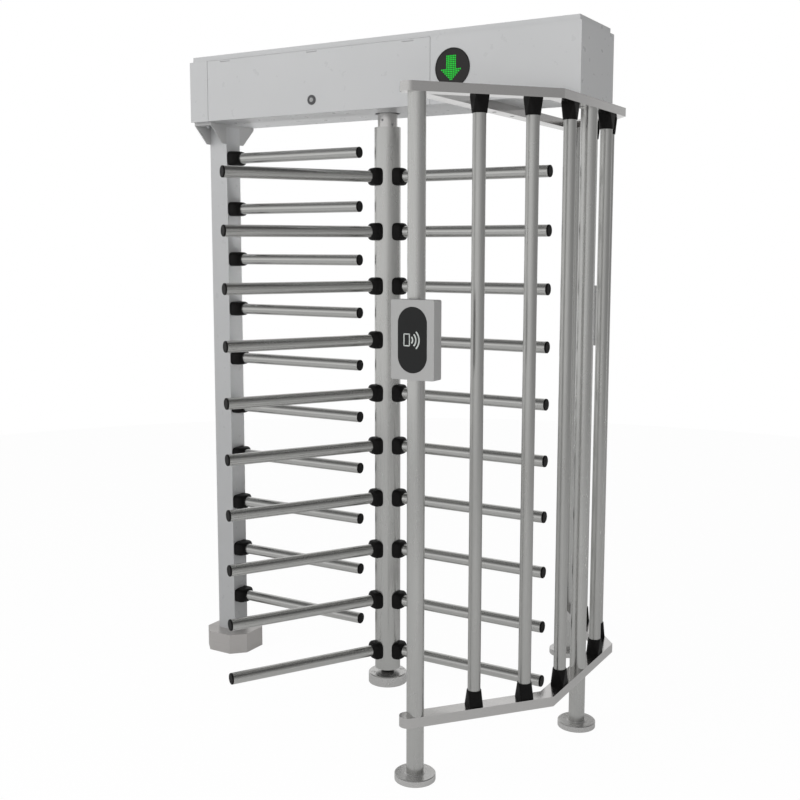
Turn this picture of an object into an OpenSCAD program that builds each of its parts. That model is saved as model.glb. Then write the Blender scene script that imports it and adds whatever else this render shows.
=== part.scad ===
// Full height turnstile for one lane.
// A rotor with three wings turns between a comb of fixed bars on the left and a cage on
// the right, under a housing that holds the bearing, the locks and the damper.
// Millimetres. The origin is on the rotor's axis at floor level. +X runs along the
// housing towards the cage, +Y points to the rear, +Z points up.

/* [Rotor] */
// Outside diameter of the rotor column
column_d = 88.9; // [84:0.1:94]
// Wall thickness of the rotor column
column_wall = 3; // [2.5:0.5:4]
// Gap between the column's top end and the underside of the housing
column_top_gap = 45.5; // [38:0.5:60]
// Diameter of the shaft's neck where it enters the housing
neck_d = 66; // [60:1:70]
// Arms in each wing, one above the other
arm_count = 10; // [8:1:10]
// Height of the top arm's centre line above the floor
top_arm_z = 1768; // [1765:1:1775]
// Vertical distance from one arm to the next
arm_pitch = 183; // [176:1:184]
// Distance from the rotor's axis to the arm tips
arm_reach = 591; // [560:1:600]
// Outside diameter of the arms, the comb bars and the cage tubes
bar_d = 38; // [34:1:40]
// Wall thickness of the arms, the comb bars and the cage tubes
bar_wall = 1.5; // [1:0.5:2.5]
// Diameter of the arm sockets where they are widest
arm_socket_d = 60; // [54:1:64]
// Distance from the rotor's axis to the mouth of an arm socket
arm_socket_reach = 67; // [64:1:80]

/* [Floor base] */
// Diameter of the rotor's floor base
base_d = 135; // [126:1:150]
// Height of the rotor's floor base
base_h = 36; // [30:1:42]
// Bolt circle of the floor base
base_pcd = 104; // [102:1:105]
// Diameter of the floor base's bolt holes
base_hole_d = 11; // [9:1:11]
// Diameter of the foot collar under the column
foot_collar_d = 44; // [42:1:48]
// Height of the foot collar below the column
foot_collar_h = 16.7; // [14:0.1:20]
// Diameter of the pivot pin in the column's foot
pivot_d = 24; // [20:1:26]

/* [Comb and left post] */
// Distance from the rotor's axis to the left post's centre line
post_x = 700; // [690:1:715]
// Width of the square left post
post_w = 76; // [70:1:80]
// Wall thickness of the left post
post_wall = 3; // [2:0.5:5]
// Distance from the rotor's axis to the comb bars' tips
comb_reach = 110; // [96:1:115]
// Height of a comb bar above the arm that passes under it
comb_rise = 87; // [84:1:96]
// Diameter of the comb sockets where they are widest
comb_socket_d = 54; // [50:1:58]
// Length of the comb sockets
comb_socket_len = 45; // [38:1:55]
// Width of the square foot cover of the left post
foot_cover_w = 188; // [186:1:200]
// Height of the foot cover
foot_cover_h = 73; // [60:1:85]
// Distance between the left post's anchor holes, both ways
anchor_spacing = 104; // [102:1:108]
// Diameter of the left post's anchor holes
anchor_hole_d = 14; // [11:1:14]
// Length of the head bracket under the housing
head_len = 244; // [220:1:260]
// Height of the head bracket's gusset plates
gusset_h = 60; // [50:1:75]

/* [Cage] */
// Distance from the rotor's axis to the cross bar's centre line
cage_front_x = 427; // [420:1:440]
// Distance from the rotor's axis to the centre line of the cage's far side
cage_side_x = 712; // [705:1:725]
// Half the distance between the two open ends of the cage
cage_half = 596; // [585:1:605]
// Half the length of the cage's far side
cage_side_half = 249; // [240:1:260]
// Width of the cage frames' rectangular tube
frame_w = 50; // [46:1:54]
// Height of the lower frame's tube
lower_frame_h = 30; // [26:1:34]
// Height of the upper frame's tube
upper_frame_h = 27; // [24:1:32]
// Wall thickness of the frames' tube
frame_wall = 2; // [1.5:0.5:3]
// Height of the lower frame's upper face above the floor
lower_frame_top = 194.3; // [180:0.1:200]
// Height of the upper frame's upper face above the floor
frame_top_z = 1976.5; // [1972:0.5:1990]
// Outside diameter of the cage posts and legs
cage_post_d = 50.8; // [48:0.1:54]
// Distance of the end posts from the frame's round end
end_post_inset = 23; // [18:1:28]
// Diameter of the legs' floor covers
leg_cover_d = 120; // [116:1:126]
// Height of the legs' floor covers
leg_cover_h = 21; // [12:0.5:26]
// Bolt circle of the legs' base discs
leg_pcd = 84; // [80:1:88]
// Diameter of the legs' bolt holes
leg_hole_d = 11; // [9:1:12]
// Height of the black adapters on the cage tubes
adapter_h = 48; // [38:1:52]

/* [Housing] */
// Distance from the rotor's axis to the housing's front face
housing_front = 142; // [140:1:150]
// Distance from the rotor's axis to the housing's back face
housing_back = 130; // [128:1:140]
// Height of the housing's walls
housing_h = 208; // [200:1:220]
// Height of the lid above the walls
lid_h = 17.8; // [12:0.1:24]
// Distance of the lid's sides from the housing's faces
lid_inset = 9; // [9:0.5:12]
// Sheet thickness of the housing's walls and lid
sheet = 1.5; // [1.2:0.1:2]
// Sheet thickness of the housing's floor
floor_t = 2; // [2:0.5:3]
// Distance from the rotor's axis to the access door's left edge
door_left = 658; // [640:1:660]
// Distance from the rotor's axis to the access door's right edge
door_right = 240; // [235:1:245]
// Gap between the front panels
seam = 1.5; // [1:0.1:2.5]
// Diameter of the hole for the shaft in the housing's floor
neck_hole_d = 85; // [82:1:90]
// Distance of the lock from the rotor's axis, to the left
lock_x = 210; // [190:1:230]
// Height of the lock above the housing's underside
lock_rise = 44.5; // [42:0.5:50]
// Diameter of the lock's flange
lock_d = 32; // [28:1:34]

/* [Indicator and readers] */
// Distance of the indicator's centre from the rotor's axis
indicator_x = 319; // [315:1:340]
// Height of the indicator's centre above the housing's underside
indicator_rise = 106.5; // [96:0.5:112]
// Outside diameter of the indicator's rim
indicator_d = 120; // [110:1:124]
// Distance between the indicator's lamps
lamp_pitch = 5.8; // [5:0.1:6]
// Width of a reader box
reader_w = 134; // [125:1:140]
// Height of a reader box
reader_h = 218; // [205:1:230]
// Depth of a reader box
reader_depth = 41.4; // [36:0.1:50]
// Height of a reader box's underside above the floor
reader_z = 1175; // [1000:1:1250]
// Width of a reader window
window_w = 91; // [85:1:94]
// Height of a reader window
window_h = 181; // [170:1:185]

/* [Mechanism] */
// Outside diameter of the index disc
index_d = 220; // [216:1:222]
// Notches in the index disc
notch_count = 12; // [12:12:12]
// Module of the damper's gear pair
gear_module = 3; // [3:0.5:3]
// Teeth of the drive gear
gear_teeth = 72; // [72:1:74]
// Teeth of the damper's pinion
pinion_teeth = 18; // [17:1:19]
// Bore of the rotor's ball bearing
bearing_bore = 40; // [35:1:42]
// Outside diameter of the rotor's ball bearing
bearing_d = 80; // [78:1:84]
// Width of the rotor's ball bearing
bearing_w = 18; // [16:1:20]
// Distance from a pawl's pivot to its tooth
pawl_len = 70; // [68:1:72]
// Distance from a pawl's pivot to its plunger
pawl_tail = 35; // [34:1:36]

/* [Hidden] */
$fn = 64;

// Overrun of every cut past the face it opens
over = 1;
// Radial gap where one fixed piece is pushed into another
fit = 0.1;
// Radial gap of a shaft or pin in its bore
run = 0.05;
// Gap between faces that move past each other
gap = 0.5;
// Gap under the rotor's foot
thrust_gap = 0.3;
// Difference in diameter between a bolt's hole and its shank
bolt_room = 1;
// Height of a bolt's head, height of its nut and corner radius of both, by its diameter
bolt_head_share = 0.65;
bolt_nut_share = 0.8;
bolt_corner_share = 0.9;
// Segments round a blended shape
hull_fn = 32;

// Directions of the wings
wing_angles = [0, 120, 240];
bar_r = bar_d / 2;
bar_bore_r = bar_r - bar_wall;
arm_heights = [for (i = [0:arm_count - 1]) top_arm_z - i * arm_pitch];
comb_heights = [for (z = arm_heights) z + comb_rise];

// Rotor column
column_r = column_d / 2;
column_bore_r = column_r - column_wall;
column_foot = base_h + thrust_gap + foot_collar_h;
column_top = frame_top_z - column_top_gap;
column_plug_len = 50;
// Depth to which an arm enters the column
arm_root_depth = 14;
arm_root_x = column_r - arm_root_depth;

// End caps of the arms and of the comb bars
cap_proud = 5;
cap_round = 2.5;
cap_plug_len = 14;

// Sockets
socket_mouth_wall = 4;
socket_mouth_r = bar_r + socket_mouth_wall;
socket_lip = 1.5;
arm_socket_depth = 12;
arm_socket_root = column_r - arm_socket_depth;
// Share of a socket's length at which its straight belly ends
socket_belly_share = 0.5;
// Share of a socket's wall that its root's rounding takes up
socket_round_share = 0.3;

// Floor base
base_chamfer = 3;
base_bolt_count = 4;
base_bolt_turn = 45;
base_head_d = 15;
base_head_depth = 12;
pivot_r = pivot_d / 2;
pivot_len = 50;
pivot_chamfer = 2;
bush_wall = 3;
bush_r = pivot_r + run + bush_wall;
bush_len = 36;
bush_flange_r = bush_r + bush_wall;
bush_flange_t = 3;
collar_plug_len = 30;

// Shaft, from the column up to its nut
neck_r = neck_d / 2;
housing_z = frame_top_z;
floor_top = housing_z + floor_t;
plate_t = 8;
plate_top = floor_top + plate_t;
bearing_lift = 10;
bearing_z = plate_top + bearing_lift;
bearing_top = bearing_z + bearing_w;
shaft_r = bearing_bore / 2;
shaft_step = 4;
shaft_step_r = shaft_r + shaft_step;
hub_wall = 10;
hub_r = shaft_r + hub_wall;
disc_t = 12;
disc_lift = 10;
disc_z = bearing_top + disc_lift;
disc_hub_h = 28;
gear_lift = 6;
gear_hub_z = bearing_top + disc_hub_h;
gear_z = gear_hub_z + gear_lift;
gear_t = 12;
gear_hub_h = 24;
washer_t = 4;
nut_h = 16;
nut_af = 55;
nut_z = gear_hub_z + gear_hub_h + washer_t;
shaft_end = 4;
shaft_top = nut_z + nut_h + shaft_end;
key_w = 10;
key_proud = 3.3;
key_depth = 5;
neck_screw_d = 8;
neck_screw_depth = 6;
neck_screw_sink = 1.5;
neck_screw_angles = [-90, -30];
neck_screw_shares = [0.5, 0.16];

// Ball bearing
race_share = 0.32;
ball_gap = 0.05;
ball_count = 9;
shaft_bearing_span = bearing_d / 2 - shaft_r;
ball_pitch_r = (bearing_d / 2 + shaft_r) / 2;
ball_r = shaft_bearing_span * race_share;
inner_race_r = shaft_r + shaft_bearing_span * race_share;
outer_race_r = bearing_d / 2 - shaft_bearing_span * race_share;

// Bearing housing
bearing_flange_w = 132;
bearing_flange_t = 12;
bearing_flange_round = 12;
bearing_wall = 12;
bearing_boss_r = bearing_d / 2 + bearing_wall;
bearing_cover_h = 4;
bearing_housing_top = bearing_top + bearing_cover_h;
bearing_mouth_gap = 4;
bearing_mouth_r = shaft_step_r + bearing_mouth_gap;
bearing_bolt_x = 53;

// Mechanism plate
plate_left = 236;
plate_right = 200;
plate_half = 114;
plate_bolt_inset = 14;
plate_bolt_d = 10;

// Index disc, pawls and plungers
index_r = index_d / 2;
notch_w = 16;
notch_depth = 12;
disc_window_count = 6;
disc_window_r = 17;
disc_window_pcd_r = 74;
pawl_angle = 120;
pawl_clear = 2;
pawl_mid = 4;
pawl_tooth_w = 11;
pawl_tooth_h = 16;
pawl_arm_w = 15;
pawl_boss_r = 12;
pawl_neck_share = 0.6;
pawl_tail_r = 9;
pawl_tail_w = 13;
// Drop from a pawl's boss to each face of its tail
pawl_step = 1;
pawl_stud_r = 8;
pawl_t = disc_t;
slot_gap = 0.35;
plunger_pin_r = 3;
slot_travel = 0.9;
fork_gap = 0.5;
fork_cheek_t = 4;
fork_half_w = 9;
fork_back = 12;
fork_web = 6;
plunger_r = 5;
plunger_insert = 40;
solenoid_gap = 10;
solenoid_len = 62;
solenoid_w = 36;
solenoid_yoke_t = 3;
solenoid_coil_d = 32;
solenoid_foot_t = 4;
pawl_retainer_r = 11;
pawl_retainer_t = 3;

// Gear pair
gear_pitch_r = gear_module * gear_teeth / 2;
pinion_pitch_r = gear_module * pinion_teeth / 2;
damper_x = gear_pitch_r + pinion_pitch_r;
pressure_angle = 20;
addendum_share = 1;
dedendum_share = 1.25;
backlash_share = 0.04;
flank_shares = [0, 0.5, 1];
pinion_hub_r = 12;
pinion_hub_h = 8;
damper_shaft_r = 8;
damper_shaft_insert = 24;
gear_window_count = 6;
gear_window_r = 22;
gear_window_pcd_r = 68;

// Damper
damper_r = 36;
damper_flange_r = 48;
damper_flange_t = 8;
damper_h = 28;
damper_boss_r = 14;
damper_boss_h = 8;
damper_hole_d = 7;
damper_hole_r = 42;
damper_hole_count = 4;

// Left post, its foot and its head
post_half = post_w / 2;
plate_foot_t = 10;
plate_foot_gap = 6;
foot_half = foot_cover_w / 2;
foot_chamfer_share = 0.245;
foot_sheet = 1.5;
// Offset of the foot cover from the post, towards the rotor
foot_cover_shift = 9;
base_plate_half = foot_half - foot_sheet - plate_foot_gap - foot_cover_shift;
cable_hole_d = 50;
head_plate_t = 10;
head_half = head_len / 2;
head_hole_y_share = 0.7;
head_bolt_d = 12;
head_cable_d = 40;
gusset_t = 4;
gusset_foot_share = 0.5;
head_plate_z = housing_z - head_plate_t;
comb_root_depth = 16;
comb_start_x = post_half - comb_root_depth;

// Cage
frame_half = frame_w / 2;
lower_frame_z = lower_frame_top - lower_frame_h;
upper_frame_z = frame_top_z - upper_frame_h;
cage_post_r = cage_post_d / 2;
cage_post_wall = 2;
leg_disc_gap = 4;
leg_disc_t = 8;
leg_disc_r = leg_cover_d / 2 - leg_disc_gap;
leg_cover_sheet = 1.2;
leg_cover_step_share = 0.52;
// Share of the cover's free height at which its outer ring ends
leg_cover_ring_share = 0.8;
leg_cover_round = 2;
leg_bolt_count = 3;
spigot_h = 40;
spigot_wall = 4;
post_screw_d = 8;
post_screw_rise = 25;
post_screw_sink = 0.4;
post_screw_out = cage_post_r - post_screw_sink;
post_screw_len = 5;
post_screw_heights = [lower_frame_top + post_screw_rise, upper_frame_z - post_screw_rise];
cross_bar_trim = 30;
tube_shares = [0.434, 0.82];
side_tube_share = 0.61;
adapter_collar_wall = 2.5;
// Width of an adapter's square end over the tube that it holds
adapter_foot_extra = 3;
adapter_w = bar_d + adapter_foot_extra;
adapter_floor = 8;
adapter_edge = 2;
adapter_screw_d = 8;
frame_bolt_d = 8;
frame_access_d = 14;
cross_bolt_y = 66;
side_bolt_y = 60;

// Housing
housing_left = post_x + post_half;
side_proud = 1;
housing_right = cage_side_x + frame_half + side_proud;
housing_top = housing_z + housing_h;
skin_back = housing_front - sheet;
floor_front = skin_back - gap;
top_flange_w = 18;
end_flange_w = 14;
ledge_w = 8;
return_w = 12;
rail_h = 34.5;
rail_front = housing_front - ledge_w - gap;
lid_top = housing_top + lid_h;
door_foot_gap = 0.5;
return_lift = 1.5;
hinge_r = 4;
hinge_pin_r = 2;
hinge_y = housing_front - hinge_r;
hinge_z = housing_top - hinge_r;
knuckle_len = 40;
knuckle_inset = 80;
leaf_inset = 6;
leaf_h = 24;
leaf_sink = 1;
pin_inset = 3;
door_x0 = -door_left + seam / 2;
door_x1 = door_right - seam / 2;
door_mid = (door_x0 + door_x1) / 2;
knuckle_places = [door_x0 + knuckle_inset, door_mid, door_x1 - knuckle_inset];

// Lock and its catch
lock_z = housing_z + lock_rise;
lock_flange_t = 2.5;
lock_barrel_r = 10;
lock_barrel_len = 24;
lock_nut_r = 14;
lock_nut_t = 4;
lock_plug_r = 7;
plug_proud = 0.5;
key_slot_w = 1.6;
key_slot_h = 8;
key_slot_depth = 6;
cam_t = 3;
cam_w = 14;
cam_len = 32;
catch_w = 30;
catch_t = 2;
catch_overlap = 8;
catch_foot = 7;

// Indicator
indicator_z = housing_z + indicator_rise;
indicator_r = indicator_d / 2;
rim_w = 2;
rim_proud = 3;
rim_sleeve = 1.2;
rim_depth = 8;
lens_t = 2;
lens_sink = 1;
lamp_r = 2;
lamp_len = 4;
lamp_board_t = 1.6;
lamp_gap = 0.5;
arrow_head_rows = 6;
arrow_stem_rows = 7;
arrow_stem_cols = 6;
arrow_shift_x = 4;

// Readers
reader_shift = 25.5;
reader_round = 5;
reader_seat = 0.2;
window_seat = 3;
window_t = 2.6;
reader_wall = 4;
reader_screw_d = 6;
reader_screw_share = 0.28;

// Control board and power supply
board_w = 150;
board_d = 110;
board_t = 1.6;
board_x = 390;
board_lift = 12;
board_post_r = 4;
board_inset = 8;
chip_w = 22;
chip_h = 4;
relay_w = 16;
relay_h = 15;
relay_count = 4;
terminal_w = 12;
terminal_h = 11;
capacitor_r = 8;
capacitor_h = 22;
capacitor_pitch = 20;
supply_w = 160;
supply_d = 98;
supply_h = 40;
supply_x = 560;
supply_wall = 1;
supply_slot_w = 3;
supply_slot_len = 60;
supply_slot_count = 12;
supply_slot_pitch = 9;

function between(a, b, share) = a + (b - a) * share;
function length(v) = sqrt(v.x * v.x + v.y * v.y);
function unit(v) = v / length(v);
function right_of(v) = [v.y, -v.x];

// The cage's centre line in plan, seen from above
cage_a = [cage_front_x, -cage_half];
cage_b = [cage_side_x, -cage_side_half];
cage_dir = unit(cage_b - cage_a);
cage_turn = atan2(cage_dir.y, cage_dir.x);
cage_out = right_of(cage_dir);
side_out = [1, 0];
corner_out = (cage_out + side_out) / (1 + cage_out * side_out);
front_post_at = cage_a + end_post_inset * cage_dir;
middle_post_at = [cage_side_x, 0];
rear_post_at = [front_post_at.x, -front_post_at.y];
post_places = [front_post_at, middle_post_at, rear_post_at];
// Turn of a post's set screws, which face the inside of the cage
function post_screw_turn(p) = p.y < 0 ? 180 : p.y > 0 ? 0 : -90;
front_tube_places = [for (s = tube_shares) concat(between(front_post_at, cage_b, s), [cage_turn])];
side_tube_places = [for (s = [-1, 1]) [cage_side_x, s * side_tube_share * cage_side_half, 0]];
rear_tube_places = [for (p = front_tube_places) [p.x, -p.y, -p.z]];
tube_places = concat(front_tube_places, side_tube_places, rear_tube_places);

// Pawl geometry: the tooth stands on the index disc's rim at pawl_angle
pawl_reach_r = index_r - pawl_mid;
pawl_out = [cos(pawl_angle), sin(pawl_angle)];
pawl_side = [-sin(pawl_angle), cos(pawl_angle)];
pawl_at = pawl_reach_r * pawl_out + pawl_len * pawl_side;
plunger_at = pawl_at + [0, pawl_tail];
solenoid_x = plunger_at.x - fork_back - solenoid_gap;
// Pieces of hollow and round section

module ring(outer_r, inner_r, h) {
  difference() {
    cylinder(r = outer_r, h = h);
    translate([0, 0, -over])
      cylinder(r = inner_r, h = h + 2 * over);
  }
}

module along_x() {
  rotate([0, 90, 0])
    children();
}

module along_y() {
  rotate([-90, 0, 0])
    children();
}

module box(low, high) {
  translate(low)
    cube(high - low);
}

// A bolt seen from its head: head below z = 0, shank up, nut above the grip
module bolt(d, grip) {
  head_h = bolt_head_share * d;
  head_r = bolt_corner_share * d;
  nut_t = bolt_nut_share * d;
  translate([0, 0, -head_h])
    cylinder(r = head_r, h = head_h, $fn = 6);
  cylinder(d = d, h = grip + nut_t);
  translate([0, 0, grip])
    cylinder(r = head_r, h = nut_t, $fn = 6);
}

// Socket turned about the bar that it holds, from its root at 0 to its mouth
module socket(belly_d, len) {
  belly_r = belly_d / 2;
  bore_r = bar_r + fit;
  root_round = socket_round_share * (belly_r - bore_r);
  belly_end = len * socket_belly_share;
  taper = len - socket_lip - belly_end;
  root_arc = [for (a = [0:22.5:90]) [
    belly_r - root_round * (1 - sin(a)),
    root_round * (1 - cos(a))
  ]];
  shoulder_arc = [for (a = [0:18:90]) [
    socket_mouth_r + (belly_r - socket_mouth_r) * cos(a),
    belly_end + taper * sin(a)
  ]];
  rotate_extrude()
    polygon(concat(
      [[bore_r, 0]],
      root_arc,
      shoulder_arc,
      [[socket_mouth_r - socket_lip, len], [bore_r, len]]
    ));
}

// End cap of a bar, its plug below z = 0 and its dome above
module cap() {
  plug_r = bar_bore_r - fit;
  dome = [for (a = [0:22.5:90]) [
    bar_r - cap_round * (1 - cos(a)),
    cap_proud - cap_round * (1 - sin(a))
  ]];
  rotate_extrude()
    polygon(concat(
      [[0, -cap_plug_len], [plug_r, -cap_plug_len], [plug_r, 0], [bar_r, 0]],
      dome,
      [[0, cap_proud]]
    ));
}

module bar_tube(x0, x1) {
  translate([x0, 0, 0])
    along_x()
      ring(bar_r, bar_bore_r, x1 - x0);
}

// Rotor

module rotor_column() {
  color("silver")
    difference() {
      translate([0, 0, column_foot])
        ring(column_r, column_bore_r, column_top - column_foot);
      for (angle = wing_angles, z = arm_heights)
        rotate([0, 0, angle])
          translate([arm_root_x, 0, z])
            along_x()
              cylinder(r = bar_r + fit, h = column_r);
    }
}

module wing_arms(angle) {
  color("lightgray")
    for (z = arm_heights)
      rotate([0, 0, angle])
        translate([0, 0, z])
          bar_tube(arm_root_x, arm_reach - cap_proud);
}

module arm_sockets() {
  color("#1b1a18")
    for (angle = wing_angles, z = arm_heights)
      rotate([0, 0, angle])
        translate([0, 0, z])
          difference() {
            translate([arm_socket_root, 0, 0])
              along_x()
                socket(arm_socket_d, arm_socket_reach - arm_socket_root);
            translate([0, 0, -arm_socket_d])
              cylinder(r = column_r + fit, h = 2 * arm_socket_d);
          }
}

module arm_caps() {
  color("#1b1a18")
    for (angle = wing_angles, z = arm_heights)
      rotate([0, 0, angle])
        translate([arm_reach - cap_proud, 0, z])
          along_x()
            cap();
}

module foot_collar() {
  plug_r = column_bore_r - fit;
  collar_r = foot_collar_d / 2;
  collar_z = base_h + thrust_gap;
  bore_r = bush_r + fit;
  recess_r = bush_flange_r + fit;
  recess_top = collar_z + bush_flange_t;
  plug_top = column_foot + collar_plug_len;
  color("#3a3836")
    rotate_extrude()
      polygon([
        [recess_r, collar_z],
        [collar_r, collar_z],
        [collar_r, column_foot],
        [plug_r, column_foot],
        [plug_r, plug_top],
        [bore_r, plug_top],
        [bore_r, recess_top],
        [recess_r, recess_top]
      ]);
}

module foot_bush() {
  bush_z = base_h + thrust_gap;
  flange_top = bush_z + bush_flange_t;
  bush_top = bush_z + bush_len;
  bore_r = pivot_r + run;
  color("goldenrod")
    rotate_extrude()
      polygon([
        [bore_r, bush_z],
        [bush_flange_r, bush_z],
        [bush_flange_r, flange_top],
        [bush_r, flange_top],
        [bush_r, bush_top],
        [bore_r, bush_top]
      ]);
}

module rotor_base() {
  base_r = base_d / 2;
  pin_top = base_h + pivot_len;
  color("silver")
    difference() {
      rotate_extrude()
        polygon([
          [0, 0],
          [base_r, 0],
          [base_r, base_h - base_chamfer],
          [base_r - base_chamfer, base_h],
          [pivot_r, base_h],
          [pivot_r, pin_top - pivot_chamfer],
          [pivot_r - pivot_chamfer, pin_top],
          [0, pin_top]
        ]);
      for (i = [0:base_bolt_count - 1])
        rotate([0, 0, base_bolt_turn + i * 360 / base_bolt_count])
          translate([base_pcd / 2, 0, 0]) {
            translate([0, 0, -over])
              cylinder(d = base_hole_d, h = base_h + 2 * over);
            translate([0, 0, base_h - base_head_depth])
              cylinder(d = base_head_d, h = base_head_depth + over);
          }
    }
}

module shaft_key() {
  key_z = bearing_top + key_w / 2;
  key_end = nut_z - washer_t;
  box([shaft_r - key_depth, -key_w / 2, key_z], [shaft_r + key_proud, key_w / 2, key_end]);
}

// Keyway of a hub that stands on the shaft, with room above and beside the key
module keyway(z0, h) {
  half = key_w / 2 + fit;
  reach = shaft_r + key_proud + fit;
  box([0, -half, z0 - over], [reach, half, z0 + h + over]);
}

module neck_screw_place(i) {
  rise = column_top_gap * neck_screw_shares[i];
  rotate([0, 0, neck_screw_angles[i]])
    translate([neck_r - neck_screw_depth, 0, column_top + rise])
      along_x()
        children();
}

module rotor_shaft() {
  plug_r = column_bore_r - fit;
  neck_top = plate_top - 2 * gap;
  color("silver")
    difference() {
      union() {
        rotate_extrude()
          polygon([
            [0, column_top - column_plug_len],
            [plug_r, column_top - column_plug_len],
            [plug_r, column_top],
            [neck_r, column_top],
            [neck_r, neck_top],
            [shaft_step_r, neck_top],
            [shaft_step_r, bearing_z],
            [shaft_r, bearing_z],
            [shaft_r, shaft_top],
            [0, shaft_top]
          ]);
        shaft_key();
      }
      for (i = [0:len(neck_screw_angles) - 1])
        neck_screw_place(i)
          cylinder(d = neck_screw_d, h = neck_screw_depth + over);
    }
}

module rotor_fasteners() {
  color("dimgray") {
    translate([0, 0, nut_z - washer_t])
      ring(hub_r, shaft_r + fit, washer_t);
    translate([0, 0, nut_z])
      difference() {
        cylinder(d = nut_af / cos(30), h = nut_h, $fn = 6);
        translate([0, 0, -over])
          cylinder(r = shaft_r + fit, h = nut_h + 2 * over);
      }
    for (i = [0:len(neck_screw_angles) - 1])
      neck_screw_place(i)
        ring(neck_screw_d / 2 - fit, neck_screw_d / 4, neck_screw_depth - neck_screw_sink);
  }
}

module bearing_inner_ring() {
  color("#8f9194")
    translate([0, 0, bearing_z])
      rotate_extrude()
        difference() {
          translate([shaft_r + fit, 0])
            square([inner_race_r - shaft_r - fit, bearing_w]);
          translate([ball_pitch_r, bearing_w / 2])
            circle(r = ball_r + ball_gap);
        }
}

module bearing_outer_ring() {
  color("#8f9194")
    translate([0, 0, bearing_z])
      rotate_extrude()
        difference() {
          translate([outer_race_r, 0])
            square([bearing_d / 2 - fit - outer_race_r, bearing_w]);
          translate([ball_pitch_r, bearing_w / 2])
            circle(r = ball_r + ball_gap);
        }
}

module bearing_balls() {
  color("#d0d2d4")
    for (i = [0:ball_count - 1])
      rotate([0, 0, i * 360 / ball_count])
        translate([ball_pitch_r, 0, bearing_z + bearing_w / 2])
          sphere(r = ball_r);
}

module bearing_housing() {
  flange_half = bearing_flange_w / 2;
  boss_h = bearing_housing_top - plate_top;
  corner = flange_half - bearing_flange_round;
  color("#5d6165")
    difference() {
      union() {
        translate([0, 0, plate_top]) {
          linear_extrude(bearing_flange_t)
            union() {
              square([2 * corner, bearing_flange_w], center = true);
              square([bearing_flange_w, 2 * corner], center = true);
              for (x = [-corner, corner], y = [-corner, corner])
                translate([x, y])
                  circle(r = bearing_flange_round);
            }
          cylinder(r = bearing_boss_r, h = boss_h);
        }
      }
      translate([0, 0, plate_top - over])
        cylinder(r = bearing_mouth_r, h = boss_h);
      translate([0, 0, bearing_z])
        cylinder(r = bearing_d / 2, h = boss_h);
      for (x = [-bearing_bolt_x, bearing_bolt_x], y = [-bearing_bolt_x, bearing_bolt_x])
        translate([x, y, plate_top - over])
          cylinder(d = plate_bolt_d + bolt_room, h = boss_h);
    }
}

module index_disc() {
  color("#9da0a3")
    difference() {
      union() {
        translate([0, 0, disc_z])
          cylinder(r = index_r, h = disc_t);
        translate([0, 0, bearing_top])
          cylinder(r = hub_r, h = disc_hub_h);
      }
      translate([0, 0, bearing_top - over])
        cylinder(r = shaft_r + fit, h = disc_hub_h + 2 * over);
      keyway(bearing_top, disc_hub_h);
      for (i = [0:notch_count - 1])
        rotate([0, 0, i * 360 / notch_count])
          box(
            [index_r - notch_depth, -notch_w / 2, disc_z - over],
            [index_r + over, notch_w / 2, disc_z + disc_t + over]
          );
      for (i = [0:disc_window_count - 1])
        rotate([0, 0, (i + 0.5) * 360 / disc_window_count])
          translate([disc_window_pcd_r, 0, disc_z - over])
            cylinder(r = disc_window_r, h = disc_t + 2 * over);
    }
}

// Involute gear outline. Radii follow from the module, and each flank is an involute of
// the base circle, thinned by the backlash.
module gear_outline(teeth) {
  pitch_r = gear_module * teeth / 2;
  tooth_base_r = pitch_r * cos(pressure_angle);
  tip_r = pitch_r + addendum_share * gear_module;
  root_r = pitch_r - dedendum_share * gear_module;
  start_r = max(tooth_base_r, root_r);
  pitch_roll = sqrt(pow(pitch_r / tooth_base_r, 2) - 1);
  pitch_polar = pitch_roll * 180 / PI - atan(pitch_roll);
  half_tooth = 90 / teeth - backlash_share * 90 / teeth;
  flank = [for (s = flank_shares)
    let (
      r = between(start_r, tip_r, s),
      roll = sqrt(max(0, pow(r / tooth_base_r, 2) - 1)),
      polar = half_tooth + pitch_polar - (roll * 180 / PI - atan(roll))
    )
    [r, polar]
  ];
  last = len(flank) - 1;
  root_polar = flank[0][1];
  tooth = concat(
    [[root_r, -root_polar]],
    [for (p = flank) [p[0], -p[1]]],
    [for (i = [last:-1:0]) flank[i]],
    [[root_r, root_polar]]
  );
  polygon([for (i = [0:teeth - 1], p = tooth)
    let (a = p[1] + i * 360 / teeth)
    [p[0] * cos(a), p[0] * sin(a)]
  ]);
}

module drive_gear() {
  color("#a8a39a")
    difference() {
      union() {
        translate([0, 0, gear_z])
          linear_extrude(gear_t)
            gear_outline(gear_teeth);
        translate([0, 0, gear_hub_z])
          cylinder(r = hub_r, h = gear_hub_h);
      }
      translate([0, 0, gear_hub_z - over])
        cylinder(r = shaft_r + fit, h = gear_hub_h + 2 * over);
      keyway(gear_hub_z, gear_hub_h);
      for (i = [0:gear_window_count - 1])
        rotate([0, 0, i * 360 / gear_window_count])
          translate([gear_window_pcd_r, 0, gear_z - over])
            cylinder(r = gear_window_r, h = gear_t + 2 * over);
    }
}

module damper_pinion() {
  shaft_foot = plate_top + damper_flange_t + damper_h + damper_boss_h - damper_shaft_insert;
  color("#a8a39a")
    translate([damper_x, 0, 0]) {
      translate([0, 0, gear_z])
        linear_extrude(gear_t)
          rotate([0, 0, 180 + 180 / pinion_teeth])
            gear_outline(pinion_teeth);
      translate([0, 0, gear_z - pinion_hub_h])
        cylinder(r = pinion_hub_r, h = pinion_hub_h);
      translate([0, 0, shaft_foot])
        cylinder(r = damper_shaft_r, h = gear_z - shaft_foot);
    }
}

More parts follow.
